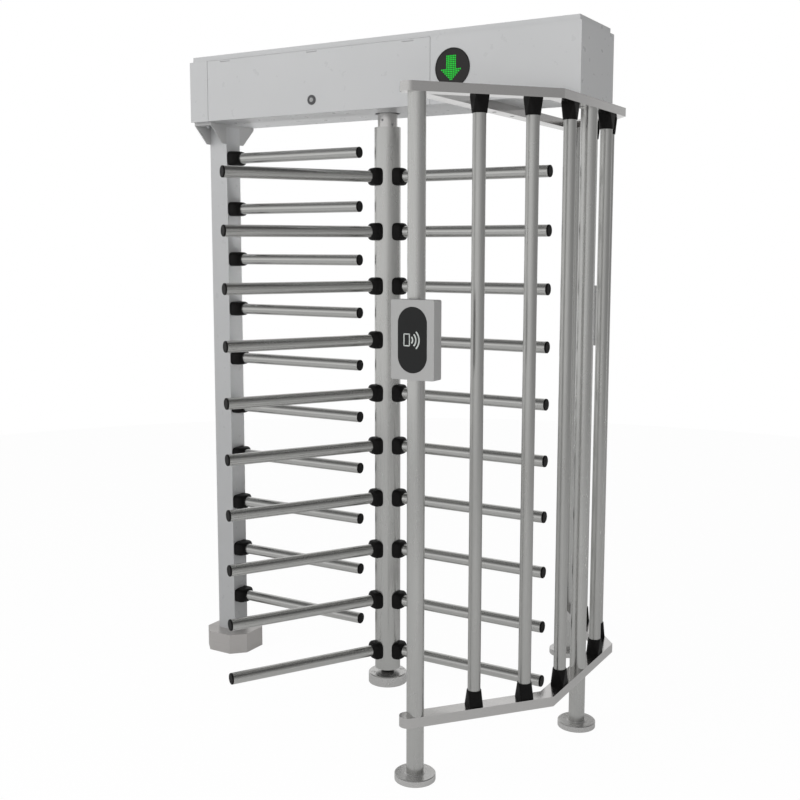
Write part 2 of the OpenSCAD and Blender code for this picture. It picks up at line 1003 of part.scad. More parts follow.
module damper_body() {
  body_z = plate_top + damper_flange_t;
  boss_z = body_z + damper_h;
  boss_top = boss_z + damper_boss_h;
  color("#2f4a6b")
    translate([damper_x, 0, 0])
      difference() {
        union() {
          translate([0, 0, plate_top])
            cylinder(r = damper_flange_r, h = damper_flange_t);
          translate([0, 0, body_z])
            cylinder(r = damper_r, h = damper_h);
          translate([0, 0, boss_z])
            cylinder(r = damper_boss_r, h = damper_boss_h);
        }
        translate([0, 0, boss_top - damper_shaft_insert - gap])
          cylinder(r = damper_shaft_r + run, h = damper_shaft_insert + gap + over);
        for (i = [0:damper_hole_count - 1])
          rotate([0, 0, (i + 0.5) * 360 / damper_hole_count])
            translate([damper_hole_r, 0, plate_top - over])
              cylinder(d = damper_hole_d, h = damper_flange_t + 2 * over);
      }
}

// Pawl of the +Y side: pivot, arm to the tooth, tail to the plunger
module pawl() {
  tip = index_r + pawl_clear;
  tooth_root = tip + pawl_tooth_h;
  arm_back = tooth_root + pawl_arm_w;
  half = pawl_tooth_w / 2;
  neck_half = pawl_neck_share * pawl_boss_r;
  slot_r = plunger_pin_r + slot_gap;
  cut_h = pawl_t + 2 * over;
  tail_t = pawl_t - 2 * pawl_step;
  translate([0, 0, disc_z])
    difference() {
      union() {
        translate(pawl_at)
          cylinder(r = pawl_boss_r, h = pawl_t);
        rotate([0, 0, pawl_angle])
          linear_extrude(pawl_t)
            polygon([
              [tip, -half],
              [tip, half],
              [tooth_root, half],
              [pawl_reach_r - neck_half, pawl_len],
              [pawl_reach_r + neck_half, pawl_len],
              [arm_back, half],
              [arm_back, -half]
            ]);
        translate([pawl_at.x - pawl_tail_w / 2, pawl_at.y, pawl_step])
          cube([pawl_tail_w, pawl_tail, tail_t]);
        translate([plunger_at.x, plunger_at.y, pawl_step])
          cylinder(r = pawl_tail_r, h = tail_t);
      }
      translate([plunger_at.x, plunger_at.y, -over]) {
        translate([-slot_r, 0, 0])
          cube([2 * slot_r, slot_travel, cut_h]);
        cylinder(r = slot_r, h = cut_h);
        translate([0, slot_travel, 0])
          cylinder(r = slot_r, h = cut_h);
      }
      translate([pawl_at.x, pawl_at.y, -over])
        cylinder(r = pawl_stud_r + run, h = cut_h);
    }
}

module entry_pawl() {
  color("#b9a24a")
    pawl();
}

module exit_pawl() {
  color("#b9a24a")
    mirror([0, 1, 0])
      pawl();
}

// Plunger of the +Y side: fork with its pin, and the rod that enters the solenoid
module plunger() {
  low = disc_z - fork_gap - fork_cheek_t;
  high = disc_z + pawl_t + fork_gap + fork_cheek_t;
  back = -fork_back - fork_web;
  rod_end = solenoid_x - plunger_at.x - plunger_insert;
  translate([plunger_at.x, plunger_at.y, 0]) {
    for (z = [low, high - fork_cheek_t])
      box([-fork_back, -fork_half_w, z], [plunger_pin_r + fork_web, fork_half_w, z + fork_cheek_t]);
    box([back, -fork_half_w, low], [-fork_back, fork_half_w, high]);
    translate([0, 0, low])
      cylinder(r = plunger_pin_r, h = high - low);
    translate([rod_end, 0, (low + high) / 2])
      along_x()
        cylinder(r = plunger_r, h = -fork_back - rod_end);
  }
}

module entry_plunger() {
  color("#c9ccd0")
    plunger();
}

module exit_plunger() {
  color("#c9ccd0")
    mirror([0, 1, 0])
      plunger();
}

// Solenoid of the +Y side: open yoke, coil, and the foot that carries it on the plate
module solenoid() {
  axis_z = disc_z + pawl_t / 2;
  half = solenoid_w / 2;
  x1 = solenoid_x;
  x0 = x1 - solenoid_len;
  y = plunger_at.y;
  low = axis_z - half;
  bore_len = plunger_insert + gap;
  difference() {
    union() {
      box([x0, y - half, low], [x0 + solenoid_yoke_t, y + half, axis_z + half]);
      box([x1 - solenoid_yoke_t, y - half, low], [x1, y + half, axis_z + half]);
      box([x0, y - half, low], [x1, y + half, low + solenoid_yoke_t]);
      translate([x0, y, axis_z])
        along_x()
          cylinder(d = solenoid_coil_d, h = solenoid_len);
      box([x0, y - half, plate_top], [x0 + solenoid_foot_t, y + half, low]);
      box([x1 - solenoid_foot_t, y - half, plate_top], [x1, y + half, low]);
      box([x0, y - half, plate_top], [x1, y + half, plate_top + solenoid_foot_t]);
    }
    translate([x1 - bore_len, y, axis_z])
      along_x()
        cylinder(r = plunger_r + run, h = bore_len + over);
  }
}

module solenoids() {
  color("#7c5a3a") {
    solenoid();
    mirror([0, 1, 0])
      solenoid();
  }
}

module mechanism_plate() {
  stud_foot_r = pawl_stud_r + pawl_retainer_t;
  bolt_x = [-plate_left + plate_bolt_inset, plate_right - plate_bolt_inset];
  bolt_y = [-plate_half + plate_bolt_inset, plate_half - plate_bolt_inset];
  color("#8d9093") {
    difference() {
      box([-plate_left, -plate_half, floor_top], [plate_right, plate_half, plate_top]);
      translate([0, 0, floor_top - over])
        cylinder(d = neck_hole_d, h = plate_t + 2 * over);
      for (x = bolt_x, y = bolt_y)
        translate([x, y, floor_top - over])
          cylinder(d = plate_bolt_d + bolt_room, h = plate_t + 2 * over);
      for (x = [-bearing_bolt_x, bearing_bolt_x], y = [-bearing_bolt_x, bearing_bolt_x])
        translate([x, y, floor_top - over])
          cylinder(d = plate_bolt_d + bolt_room, h = plate_t + 2 * over);
    }
    for (s = [-1, 1])
      translate([pawl_at.x, s * pawl_at.y, plate_top]) {
        cylinder(r = stud_foot_r, h = disc_z - gap - plate_top);
        cylinder(r = pawl_stud_r, h = disc_z + pawl_t + gap - plate_top);
        translate([0, 0, disc_z + pawl_t + gap - plate_top])
          cylinder(r = pawl_retainer_r, h = pawl_retainer_t);
      }
  }
}

// Left post, comb and head bracket

module octagon(half, chamfer) {
  polygon([
    [half, chamfer - half],
    [half, half - chamfer],
    [half - chamfer, half],
    [chamfer - half, half],
    [-half, half - chamfer],
    [-half, chamfer - half],
    [chamfer - half, -half],
    [half - chamfer, -half]
  ]);
}

module left_post() {
  hole_at = anchor_spacing / 2;
  inner = post_half - post_wall;
  post_h = head_plate_z - plate_foot_t;
  color("#c3c5c6")
    translate([-post_x, 0, 0])
      difference() {
        union() {
          linear_extrude(plate_foot_t)
            octagon(base_plate_half, foot_chamfer_share * foot_cover_w - 2 * foot_cover_shift);
          translate([0, 0, plate_foot_t])
            difference() {
              box([-post_half, -post_half, 0], [post_half, post_half, post_h]);
              box([-inner, -inner, -over], [inner, inner, post_h + over]);
            }
        }
        for (x = [-hole_at, hole_at], y = [-hole_at, hole_at])
          translate([x, y, -over])
            cylinder(d = anchor_hole_d, h = plate_foot_t + 2 * over);
        translate([0, 0, -over])
          cylinder(d = cable_hole_d, h = plate_foot_t + 2 * over);
        for (z = comb_heights)
          translate([comb_start_x, 0, z])
            along_x()
              cylinder(r = bar_r + fit, h = post_half);
      }
}

module left_foot_cover() {
  chamfer = foot_chamfer_share * foot_cover_w;
  hole_half = post_half + fit;
  color("#b6b1ac")
    translate([-post_x, 0, 0])
      difference() {
        translate([foot_cover_shift, 0, 0])
          linear_extrude(foot_cover_h)
            octagon(foot_half, chamfer);
        translate([foot_cover_shift, 0, -over])
          linear_extrude(foot_cover_h - foot_sheet + over)
            octagon(foot_half - foot_sheet, chamfer - foot_sheet / 2);
        box([-hole_half, -hole_half, 0], [hole_half, hole_half, foot_cover_h + over]);
      }
}

// One gusset in the plane of the post's side, from the post out to the head plate's end
module gusset() {
  foot_y = between(post_half, head_half, gusset_foot_share * gusset_foot_share);
  translate([post_half - gusset_t, 0, 0])
    rotate([90, 0, 90])
      linear_extrude(gusset_t)
        polygon([
          [post_half, head_plate_z - gusset_h],
          [foot_y, head_plate_z - gusset_h],
          [head_half, head_plate_z],
          [post_half, head_plate_z]
        ]);
}

module left_head_bracket() {
  bolt_y = head_half * head_hole_y_share;
  color("#a9a8a6")
    translate([-post_x, 0, 0])
      difference() {
        union() {
          box([-post_half, -head_half, head_plate_z], [post_half, head_half, housing_z]);
          for (mx = [0, 1], my = [0, 1])
            mirror([mx, 0, 0])
              mirror([0, my, 0])
                gusset();
        }
        translate([0, 0, head_plate_z - over])
          cylinder(d = head_cable_d, h = head_plate_t + 2 * over);
        for (y = [-bolt_y, bolt_y])
          translate([0, y, head_plate_z - over])
            cylinder(d = head_bolt_d + bolt_room, h = head_plate_t + 2 * over);
      }
}

module comb_bars() {
  color("lightgray")
    for (z = comb_heights)
      translate([0, 0, z])
        bar_tube(comb_start_x - post_x, -comb_reach - cap_proud);
}

module comb_sockets() {
  color("#1b1a18")
    for (z = comb_heights)
      translate([post_half - post_x, 0, z])
        along_x()
          socket(comb_socket_d, comb_socket_len);
}

module comb_caps() {
  color("#1b1a18")
    for (z = comb_heights)
      translate([-comb_reach - cap_proud, 0, z])
        along_x()
          cap();
}

// Cage

// Plan of a frame's tube: three straights with mitred corners and two round ends
module cage_outline(half) {
  b = cage_b + half * corner_out;
  inner_b = cage_b - half * corner_out;
  a = cage_a + half * cage_out;
  inner_a = cage_a - half * cage_out;
  polygon([
    a, b, [b.x, -b.y], [a.x, -a.y],
    [inner_a.x, -inner_a.y], [inner_b.x, -inner_b.y], inner_b, inner_a
  ]);
  for (s = [1, -1])
    translate([cage_a.x, s * cage_a.y])
      circle(r = half);
}

module frame_tube(z0, h) {
  difference() {
    translate([0, 0, z0])
      linear_extrude(h)
        cage_outline(frame_half);
    translate([0, 0, z0 + frame_wall])
      linear_extrude(h - 2 * frame_wall)
        cage_outline(frame_half - frame_wall);
  }
}

module spigots(z0) {
  spigot_r = cage_post_r - cage_post_wall - fit;
  difference() {
    for (p = post_places)
      translate([p.x, p.y, z0])
        ring(spigot_r, spigot_r - spigot_wall, spigot_h);
    for (p = post_places, z = post_screw_heights)
      translate([p.x, p.y, z])
        rotate([0, 0, post_screw_turn(p)])
          post_screw_hole();
  }
}

module cage_lower_frame() {
  color("#8b8986") {
    difference() {
      frame_tube(lower_frame_z, lower_frame_h);
      for (p = tube_places)
        translate([p.x, p.y, lower_frame_z - over])
          cylinder(d = adapter_screw_d, h = lower_frame_h + 2 * over);
    }
    spigots(lower_frame_top);
  }
}

module cage_upper_frame() {
  color("#8b8986") {
    difference() {
      frame_tube(upper_frame_z, upper_frame_h);
      for (p = tube_places)
        translate([p.x, p.y, upper_frame_z - over])
          cylinder(d = adapter_screw_d, h = frame_wall + 2 * over);
      for (y = [-side_bolt_y, side_bolt_y])
        translate([cage_side_x, y, 0])
          frame_bolt_cut();
    }
    spigots(upper_frame_z - spigot_h);
  }
}

// Access hole in the tube's lower wall and bolt hole in its upper wall
module frame_bolt_cut() {
  translate([0, 0, upper_frame_z - over])
    cylinder(d = frame_access_d, h = frame_wall + 2 * over);
  translate([0, 0, upper_frame_z])
    cylinder(d = frame_bolt_d + bolt_room, h = upper_frame_h + over);
}

module cage_cross_bar() {
  half_len = cage_half - cross_bar_trim;
  inner_half = frame_half - frame_wall;
  color("#8b8986")
    difference() {
      translate([cage_front_x, 0, 0])
        difference() {
          box([-frame_half, -half_len, upper_frame_z], [frame_half, half_len, frame_top_z]);
          box(
            [-inner_half, -half_len - over, upper_frame_z + frame_wall],
            [inner_half, half_len + over, frame_top_z - frame_wall]
          );
          for (y = [-cross_bolt_y, cross_bolt_y])
            translate([0, y, 0])
              frame_bolt_cut();
        }
      translate([0, 0, upper_frame_z - over])
        linear_extrude(upper_frame_h + 2 * over)
          cage_outline(frame_half);
    }
}

module cage_post(at) {
  color("#8f8d8a")
    difference() {
      translate([at.x, at.y, lower_frame_top])
        ring(cage_post_r, cage_post_r - cage_post_wall, upper_frame_z - lower_frame_top);
      for (z = post_screw_heights)
        translate([at.x, at.y, z])
          rotate([0, 0, post_screw_turn(at)])
            post_screw_hole();
    }
}

module cage_legs() {
  color("#8f8d8a")
    for (p = post_places)
      translate([p.x, p.y, 0])
        difference() {
          union() {
            cylinder(r = leg_disc_r, h = leg_disc_t);
            cylinder(r = cage_post_r, h = lower_frame_z);
          }
          translate([0, 0, leg_disc_t])
            cylinder(r = cage_post_r - cage_post_wall, h = lower_frame_z);
          for (i = [0:leg_bolt_count - 1])
            rotate([0, 0, i * 360 / leg_bolt_count])
              translate([leg_pcd / 2, 0, -over])
                cylinder(d = leg_hole_d, h = leg_disc_t + 2 * over);
        }
}

module leg_floor_covers() {
  outer_r = leg_cover_d / 2;
  inner_r = cage_post_r + fit;
  step_r = outer_r * leg_cover_step_share;
  step_z = between(leg_disc_t + leg_cover_sheet, leg_cover_h, leg_cover_ring_share);
  color("#c9c7c3")
    for (p = post_places)
      translate([p.x, p.y, 0])
        rotate_extrude()
          polygon([
            [outer_r - leg_cover_sheet, 0],
            [outer_r, 0],
            [outer_r, step_z - leg_cover_round],
            [outer_r - leg_cover_round, step_z],
            [step_r, step_z],
            [step_r - leg_cover_round, leg_cover_h],
            [inner_r, leg_cover_h],
            [inner_r, leg_cover_h - leg_cover_sheet],
            [step_r - leg_cover_round - leg_cover_sheet, leg_cover_h - leg_cover_sheet],
            [step_r - leg_cover_sheet, step_z - leg_cover_sheet],
            [outer_r - leg_cover_sheet, step_z - leg_cover_sheet]
          ]);
}

module cage_tubes() {
  foot = lower_frame_top + adapter_floor;
  head = upper_frame_z - adapter_floor;
  color("lightgray")
    for (p = tube_places)
      translate([p.x, p.y, foot])
        ring(bar_r, bar_bore_r, head - foot);
}

// Square-to-round adapter standing on z = 0, its square foot turned to the frame
module adapter() {
  collar_r = bar_r + adapter_collar_wall;
  difference() {
    hull() {
      translate([0, 0, adapter_edge / 2])
        cube([adapter_w, adapter_w, adapter_edge], center = true);
      translate([0, 0, adapter_h - adapter_edge])
        cylinder(r = collar_r, h = adapter_edge, $fn = hull_fn);
    }
    translate([0, 0, adapter_floor])
      cylinder(r = bar_r + fit, h = adapter_h);
  }
}

module lower_adapters() {
  color("#1b1a18")
    for (p = tube_places)
      translate([p.x, p.y, lower_frame_top])
        rotate([0, 0, p.z])
          adapter();
}

module upper_adapters() {
  color("#1b1a18")
    for (p = tube_places)
      translate([p.x, p.y, upper_frame_z])
        rotate([0, 0, p.z])
          mirror([0, 0, 1])
            adapter();
}

// Housing

// Holes in the housing's floor for the bolts of the head bracket and of the cage
module housing_bolt_holes() {
  bolt_y = head_half * head_hole_y_share;
  for (y = [-bolt_y, bolt_y])
    translate([-post_x, y, housing_z - over])
      cylinder(d = head_bolt_d + bolt_room, h = floor_t + 2 * over);
  for (p = [[cage_front_x, cross_bolt_y], [cage_side_x, side_bolt_y]], s = [-1, 1])
    translate([p.x, s * p.y, housing_z - over])
      cylinder(d = frame_bolt_d + bolt_room, h = floor_t + 2 * over);
}

module housing_catch() {
  catch_top = lock_z - cam_len + catch_overlap;
  back = lock_barrel_len - lock_flange_t - housing_front;
  front = back - catch_t;
  translate([-lock_x, 0, 0]) {
    box([-catch_w / 2, front, floor_top], [catch_w / 2, back, catch_top]);
    box([-catch_w / 2, front, floor_top], [catch_w / 2, front + catch_foot, floor_top + catch_t]);
  }
}

module housing_body() {
  wall_x = housing_right - sheet;
  wall_y = housing_back - sheet;
  left = -door_left;
  flange_z = housing_top - sheet;
  color("#bcbbb9")
    difference() {
      union() {
        box([sheet - housing_left, -floor_front, housing_z], [housing_right, wall_y, floor_top]);
        box([left, wall_y, housing_z], [housing_right, housing_back, housing_top]);
        box([wall_x, -skin_back, housing_z], [housing_right, housing_back, housing_top]);
        box([left, -rail_front, flange_z], [housing_right, top_flange_w - rail_front, housing_top]);
        box([left, -rail_front, housing_top - rail_h], [housing_right, sheet - rail_front, housing_top]);
        box([left, housing_back - top_flange_w, flange_z], [housing_right, housing_back, housing_top]);
        box([wall_x - return_w, -rail_front, flange_z], [housing_right, housing_back, housing_top]);
        housing_catch();
      }
      translate([0, 0, housing_z - over])
        cylinder(d = neck_hole_d, h = floor_t + 2 * over);
      translate([-post_x, 0, housing_z - over])
        cylinder(d = head_cable_d, h = floor_t + 2 * over);
      housing_bolt_holes();
    }
}

module housing_lid() {
  x0 = lid_inset - housing_left;
  x1 = housing_right - lid_inset;
  y0 = lid_inset - housing_front;
  y1 = housing_back - lid_inset;
  color("#c6c8c9")
    difference() {
      box([x0, y0, housing_top], [x1, y1, lid_top]);
      box([x0 + sheet, y0 + sheet, housing_top - over], [x1 - sheet, y1 - sheet, lid_top - sheet]);
    }
}

module left_end_cover() {
  x1 = -door_left - seam / 2;
  color("#c4c5c6")
    difference() {
      box([-housing_left, -housing_front, housing_z], [x1, housing_back, housing_top]);
      box(
        [sheet - housing_left, -skin_back, housing_z - over],
        [x1 + over, housing_back - sheet, housing_top - sheet]
      );
      box(
        [end_flange_w - housing_left, end_flange_w - housing_front, housing_z],
        [x1 + over, housing_back - end_flange_w, housing_top + over]
      );
    }
}

// Skin of a front panel with its inward returns at the foot and at both sides
module panel_skin(x0, x1, z0, top) {
  low = floor_top + return_lift;
  back = return_w - housing_front;
  box([x0, -housing_front, z0], [x1, -skin_back, top]);
  box([x0, -housing_front, low], [x1, back, low + sheet]);
  for (x = [x0, x1 - sheet])
    box([x, -housing_front, low], [x + sheet, back, housing_top - rail_h - return_lift]);
}

module right_front_panel() {
  x0 = door_right + seam / 2;
  x1 = housing_right;
  sleeve_r = indicator_r - rim_w + fit;
  color("#c6c8c9")
    difference() {
      union() {
        panel_skin(x0, x1 - sheet - gap, housing_z, housing_top);
        box([x0, -housing_front, housing_z], [x1, -skin_back, housing_top]);
        box([x0, -housing_front, housing_top - sheet], [x1 - sheet - gap, ledge_w - housing_front, housing_top]);
      }
      translate([indicator_x, -housing_front - over, indicator_z])
        along_y()
          cylinder(r = sleeve_r, h = sheet + 2 * over);
    }
}

module hinge_axis(x) {
  translate([x, -hinge_y, hinge_z])
    along_x()
      children();
}

module access_door() {
  notch_z = hinge_z - hinge_r - gap;
  notch_half = knuckle_len / 2 + gap;
  color("#c6c8c9")
    difference() {
      union() {
        panel_skin(door_x0, door_x1, housing_z + door_foot_gap, hinge_z);
        hinge_axis(door_x0)
          cylinder(r = hinge_r, h = door_x1 - door_x0);
      }
      hinge_axis(door_x0 - over)
        cylinder(r = hinge_pin_r + run, h = door_x1 - door_x0 + 2 * over);
      for (x = knuckle_places)
        box(
          [x - notch_half, -housing_front - over, notch_z],
          [x + notch_half, hinge_r + over - hinge_y, housing_top + over]
        );
      translate([-lock_x, -housing_front - over, lock_z])
        along_y()
          cylinder(r = lock_barrel_r + fit, h = sheet + 2 * over);
    }
}

module door_hinge_leaf() {
  leaf_back = rail_front;
  leaf_front = rail_front + sheet;
  leaf_top = hinge_z - hinge_r - gap;
  color("#a5a5a3")
    difference() {
      union() {
        box(
          [door_x0 + leaf_inset, -leaf_front, leaf_top - leaf_h],
          [door_x1 - leaf_inset, -leaf_back, leaf_top]
        );
        for (x = knuckle_places) {
          hinge_axis(x - knuckle_len / 2)
            cylinder(r = hinge_r, h = knuckle_len);
          box(
            [x - knuckle_len / 2, -leaf_front, leaf_top - leaf_sink],
            [x + knuckle_len / 2, -leaf_back, hinge_z]
          );
        }
      }
      hinge_axis(door_x0)
        cylinder(r = hinge_pin_r + run, h = door_x1 - door_x0);
    }
}

module door_hinge_pin() {
  color("#d0d2d4")
    hinge_axis(door_x0 + pin_inset)
      cylinder(r = hinge_pin_r, h = door_x1 - door_x0 - 2 * pin_inset);
}

module lock_axis(y) {
  translate([-lock_x, y, lock_z])
    along_y()
      children();
}

module lock_body() {
  flange_front = -housing_front - lock_flange_t;
  color("#b9bbbd")
    difference() {
      union() {
        lock_axis(flange_front)
          cylinder(d = lock_d, h = lock_flange_t);
        lock_axis(flange_front)
          cylinder(r = lock_barrel_r, h = lock_barrel_len);
        lock_axis(-skin_back)
          cylinder(r = lock_nut_r, h = lock_nut_t, $fn = 6);
      }
      lock_axis(flange_front - over)
        cylinder(r = lock_plug_r + run, h = lock_barrel_len + 2 * over);
    }
}

// Plug and cam in the open position: the cam points along +X
module lock_cam() {
  flange_front = -housing_front - lock_flange_t;
  cam_y = flange_front + lock_barrel_len + gap;
  color("#8f9194")
    difference() {
      union() {
        lock_axis(flange_front - plug_proud)
          cylinder(r = lock_plug_r, h = lock_barrel_len + plug_proud + gap + cam_t);
        box(
          [-lock_x - cam_w / 2, cam_y, lock_z - cam_w / 2],
          [cam_len - lock_x, cam_y + cam_t, lock_z + cam_w / 2]
        );
      }
      box(
        [-lock_x - key_slot_w / 2, flange_front - over, lock_z - key_slot_h / 2],
        [-lock_x + key_slot_w / 2, flange_front + key_slot_depth, lock_z + key_slot_h / 2]
      );
    }
}

// Indicator

module indicator_axis(y) {
  translate([indicator_x, y, indicator_z])
    along_y()
      children();
}

module indicator_rim() {
  sleeve_r = indicator_r - rim_w;
  inner_r = sleeve_r - rim_sleeve;
  color("#d8d9da")
    indicator_axis(-housing_front - rim_proud)
      rotate_extrude()
        polygon([
          [inner_r, 0],
          [indicator_r - rim_proud / 2, 0],
          [indicator_r, rim_proud / 2],
          [indicator_r, rim_proud],
          [sleeve_r, rim_proud],
          [sleeve_r, rim_proud + rim_depth],
          [inner_r, rim_proud + rim_depth]
        ]);
}

module indicator_lens() {
  lens_r = indicator_r - rim_w - rim_sleeve - fit;
  color("#2c2d2d")
    indicator_axis(-housing_front - rim_proud + lens_sink)
      cylinder(r = lens_r, h = lens_t);
}

// Lamps of the down arrow: a triangular head that widens upward, and a stem above it
module indicator_lamps() {
  lens_r = indicator_r - rim_w - rim_sleeve - fit;
  rows = arrow_head_rows + arrow_stem_rows;
  lens_back = -housing_front - rim_proud + lens_sink + lens_t;
  lamp_front = lens_back + lamp_gap;
  cols = [for (j = [0:rows - 1]) j < arrow_head_rows ? 2 * (j + 1) : arrow_stem_cols];
  color("#00c82a") {
    indicator_axis(lamp_front + lamp_len)
      cylinder(r = lens_r, h = lamp_board_t);
    for (j = [0:rows - 1], i = [0:cols[j] - 1])
      translate([
        (i - (cols[j] - 1) / 2) * lamp_pitch - arrow_shift_x,
        0,
        (j - (rows - 1) / 2) * lamp_pitch
      ])
        indicator_axis(lamp_front)
          cylinder(r = lamp_r, h = lamp_len, $fn = 24);
  }
}

// Readers

module stadium(w, h) {
  square([w, h - w], center = true);
  for (s = [1, -1])
    translate([0, s * (h - w) / 2])
      circle(d = w);
}

module rounded_rect(w, h, r) {
  square([w - 2 * r, h], center = true);
  square([w, h - 2 * r], center = true);
  for (x = [r - w / 2, w / 2 - r], y = [r - h / 2, h / 2 - r])
    translate([x, y])
      circle(r = r);
}

// Places a flat shape that is extruded towards the post on the front reader's face
module reader_place(depth) {
  face_y = front_post_at.y - cage_post_r - reader_seat - reader_depth + depth;
  translate([front_post_at.x + reader_shift, face_y, reader_z + reader_h / 2])
    rotate([90, 0, 0])
      mirror([0, 0, 1])
        children();
}

module reader_box() {
  side_w = window_w - 2 * reader_wall;
  side_h = window_h - 2 * reader_wall;
  cavity = reader_depth - reader_wall - window_seat;
  difference() {
    reader_place(0)
      linear_extrude(reader_depth)
        rounded_rect(reader_w, reader_h, reader_round);
    reader_place(-over)
      linear_extrude(window_seat + over)
        stadium(window_w, window_h);
    reader_place(window_seat - over)
      linear_extrude(cavity + over)
        stadium(side_w, side_h);
    for (s = [-1, 1])
      translate([-reader_shift, 0, s * reader_screw_share * reader_h])
        reader_place(reader_depth - reader_wall - over)
          cylinder(d = reader_screw_d, h = reader_wall + 2 * over);
  }
}

module front_reader_box() {
  color("#b3b3b0")
    reader_box();
}

module rear_reader_box() {
  color("#b3b3b0")
    mirror([0, 1, 0])
      reader_box();
}

module reader_window() {
  reader_place(window_seat - window_t)
    linear_extrude(window_t)
      stadium(window_w - 2 * fit, window_h - 2 * fit);
}

module reader_windows() {
  color("#2c2d2d") {
    reader_window();
    mirror([0, 1, 0])
      reader_window();
  }
}

// Electronics

module control_board() {
  half_w = board_w / 2;
  half_d = board_d / 2;
  board_z = floor_top + board_lift;
  board_top = board_z + board_t;
  post_x_at = half_w - board_inset;
  post_y_at = half_d - board_inset;
  relay_pitch = relay_w + board_inset;
  color("#1f5c38")
    translate([-board_x, 0, 0]) {
      box([-half_w, -half_d, board_z], [half_w, half_d, board_top]);
      for (x = [-post_x_at, post_x_at], y = [-post_y_at, post_y_at])
        translate([x, y, floor_top])
          cylinder(r = board_post_r, h = board_lift);
      box([-chip_w / 2, -chip_w / 2, board_top], [chip_w / 2, chip_w / 2, board_top + chip_h]);
      for (i = [0:relay_count - 1])
        translate([i * relay_pitch - post_x_at + relay_w, post_y_at - 2 * relay_w, board_top])
          cube([relay_w, relay_w, relay_h]);
      translate([board_inset - half_w + terminal_w, terminal_w / 2 - half_d, board_top])
        cube([board_w - 4 * board_inset, terminal_w, terminal_h]);
      for (s = [0, 1])
        translate([half_w - 2 * capacitor_r, s * capacitor_pitch - capacitor_r, board_top])
          cylinder(r = capacitor_r, h = capacitor_h);
    }
}

module power_supply() {
  half_w = supply_w / 2;
  half_d = supply_d / 2;
  slot_start = (supply_slot_count - 1) * supply_slot_pitch / 2;
  color("#a9abad")
    translate([-supply_x, 0, floor_top])
      difference() {
        box([-half_w, -half_d, 0], [half_w, half_d, supply_h]);
        box(
          [supply_wall - half_w, supply_wall - half_d, supply_wall],
          [half_w - supply_wall, half_d - supply_wall, supply_h - supply_wall]
        );
        for (i = [0:supply_slot_count - 1])
          translate([i * supply_slot_pitch - slot_start, 0, 0])
            box(
              [-supply_slot_w / 2, -supply_slot_len / 2, supply_h - 2 * supply_wall],
              [supply_slot_w / 2, supply_slot_len / 2, supply_h + over]
            );
      }
}

// Bolts of the fixed frame

// Stud that stands on the housing's floor, with its nut above the grip
module floor_stud(grip) {
  cylinder(d = plate_bolt_d, h = grip);
  translate([0, 0, grip])
    cylinder(r = bolt_corner_share * plate_bolt_d, h = bolt_nut_share * plate_bolt_d, $fn = 6);
}

// Hole, and the set screw in it, that hold a cage post on its spigot
module post_screw_hole() {
  translate([0, -post_screw_out - over, 0])
    along_y()
      cylinder(r = post_screw_d / 2 + fit, h = post_screw_len + over);
}

module post_screw() {
  translate([0, -post_screw_out, 0])
    along_y()
      ring(post_screw_d / 2, post_screw_d / 4, post_screw_len);
}

module frame_bolts() {
  head_y = head_half * head_hole_y_share;
  plate_bolt_x = [-plate_left + plate_bolt_inset, plate_right - plate_bolt_inset];
  plate_bolt_y = [-plate_half + plate_bolt_inset, plate_half - plate_bolt_inset];
  color("#6d6f71") {
    for (y = [-head_y, head_y])
      translate([-post_x, y, head_plate_z])
        bolt(head_bolt_d, head_plate_t + floor_t);
    for (p = [[cage_front_x, cross_bolt_y], [cage_side_x, side_bolt_y]], s = [-1, 1])
      translate([p.x, s * p.y, frame_top_z - frame_wall])
        bolt(frame_bolt_d, frame_wall + floor_t);
    for (x = plate_bolt_x, y = plate_bolt_y)
      translate([x, y, floor_top])
        floor_stud(plate_t);
    for (x = [-bearing_bolt_x, bearing_bolt_x], y = [-bearing_bolt_x, bearing_bolt_x])
      translate([x, y, floor_top])
        floor_stud(plate_t + bearing_flange_t);
    for (p = post_places, z = post_screw_heights)
      translate([p.x, p.y, z])
        rotate([0, 0, post_screw_turn(p)])
          post_screw();
  }
}

left_post();
left_foot_cover();
left_head_bracket();
comb_bars();
comb_sockets();
comb_caps();
cage_legs();
leg_floor_covers();
cage_post(front_post_at);  // front_post
cage_post(middle_post_at);  // middle_post
cage_post(rear_post_at);  // rear_post
cage_lower_frame();
cage_upper_frame();
cage_cross_bar();
cage_tubes();
upper_adapters();
lower_adapters();
housing_body();
housing_lid();
left_end_cover();
right_front_panel();
indicator_rim();
indicator_lens();
indicator_lamps();
door_hinge_leaf();
door_hinge_pin();
mechanism_plate();
bearing_housing();
bearing_outer_ring();
bearing_balls();
solenoids();
damper_body();
control_board();
power_supply();
front_reader_box();
rear_reader_box();
reader_windows();
frame_bolts();
rotor_base();
rotor_column();
rotor_shaft();
foot_collar();
foot_bush();
arm_sockets();
wing_arms(wing_angles[0]);  // wing_a_arms
wing_arms(wing_angles[1]);  // wing_b_arms
wing_arms(wing_angles[2]);  // wing_c_arms
arm_caps();
index_disc();
drive_gear();
bearing_inner_ring();
rotor_fasteners();
access_door();
lock_body();
lock_cam();
entry_pawl();
exit_pawl();
entry_plunger();
exit_plunger();
damper_pinion();
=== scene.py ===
import math

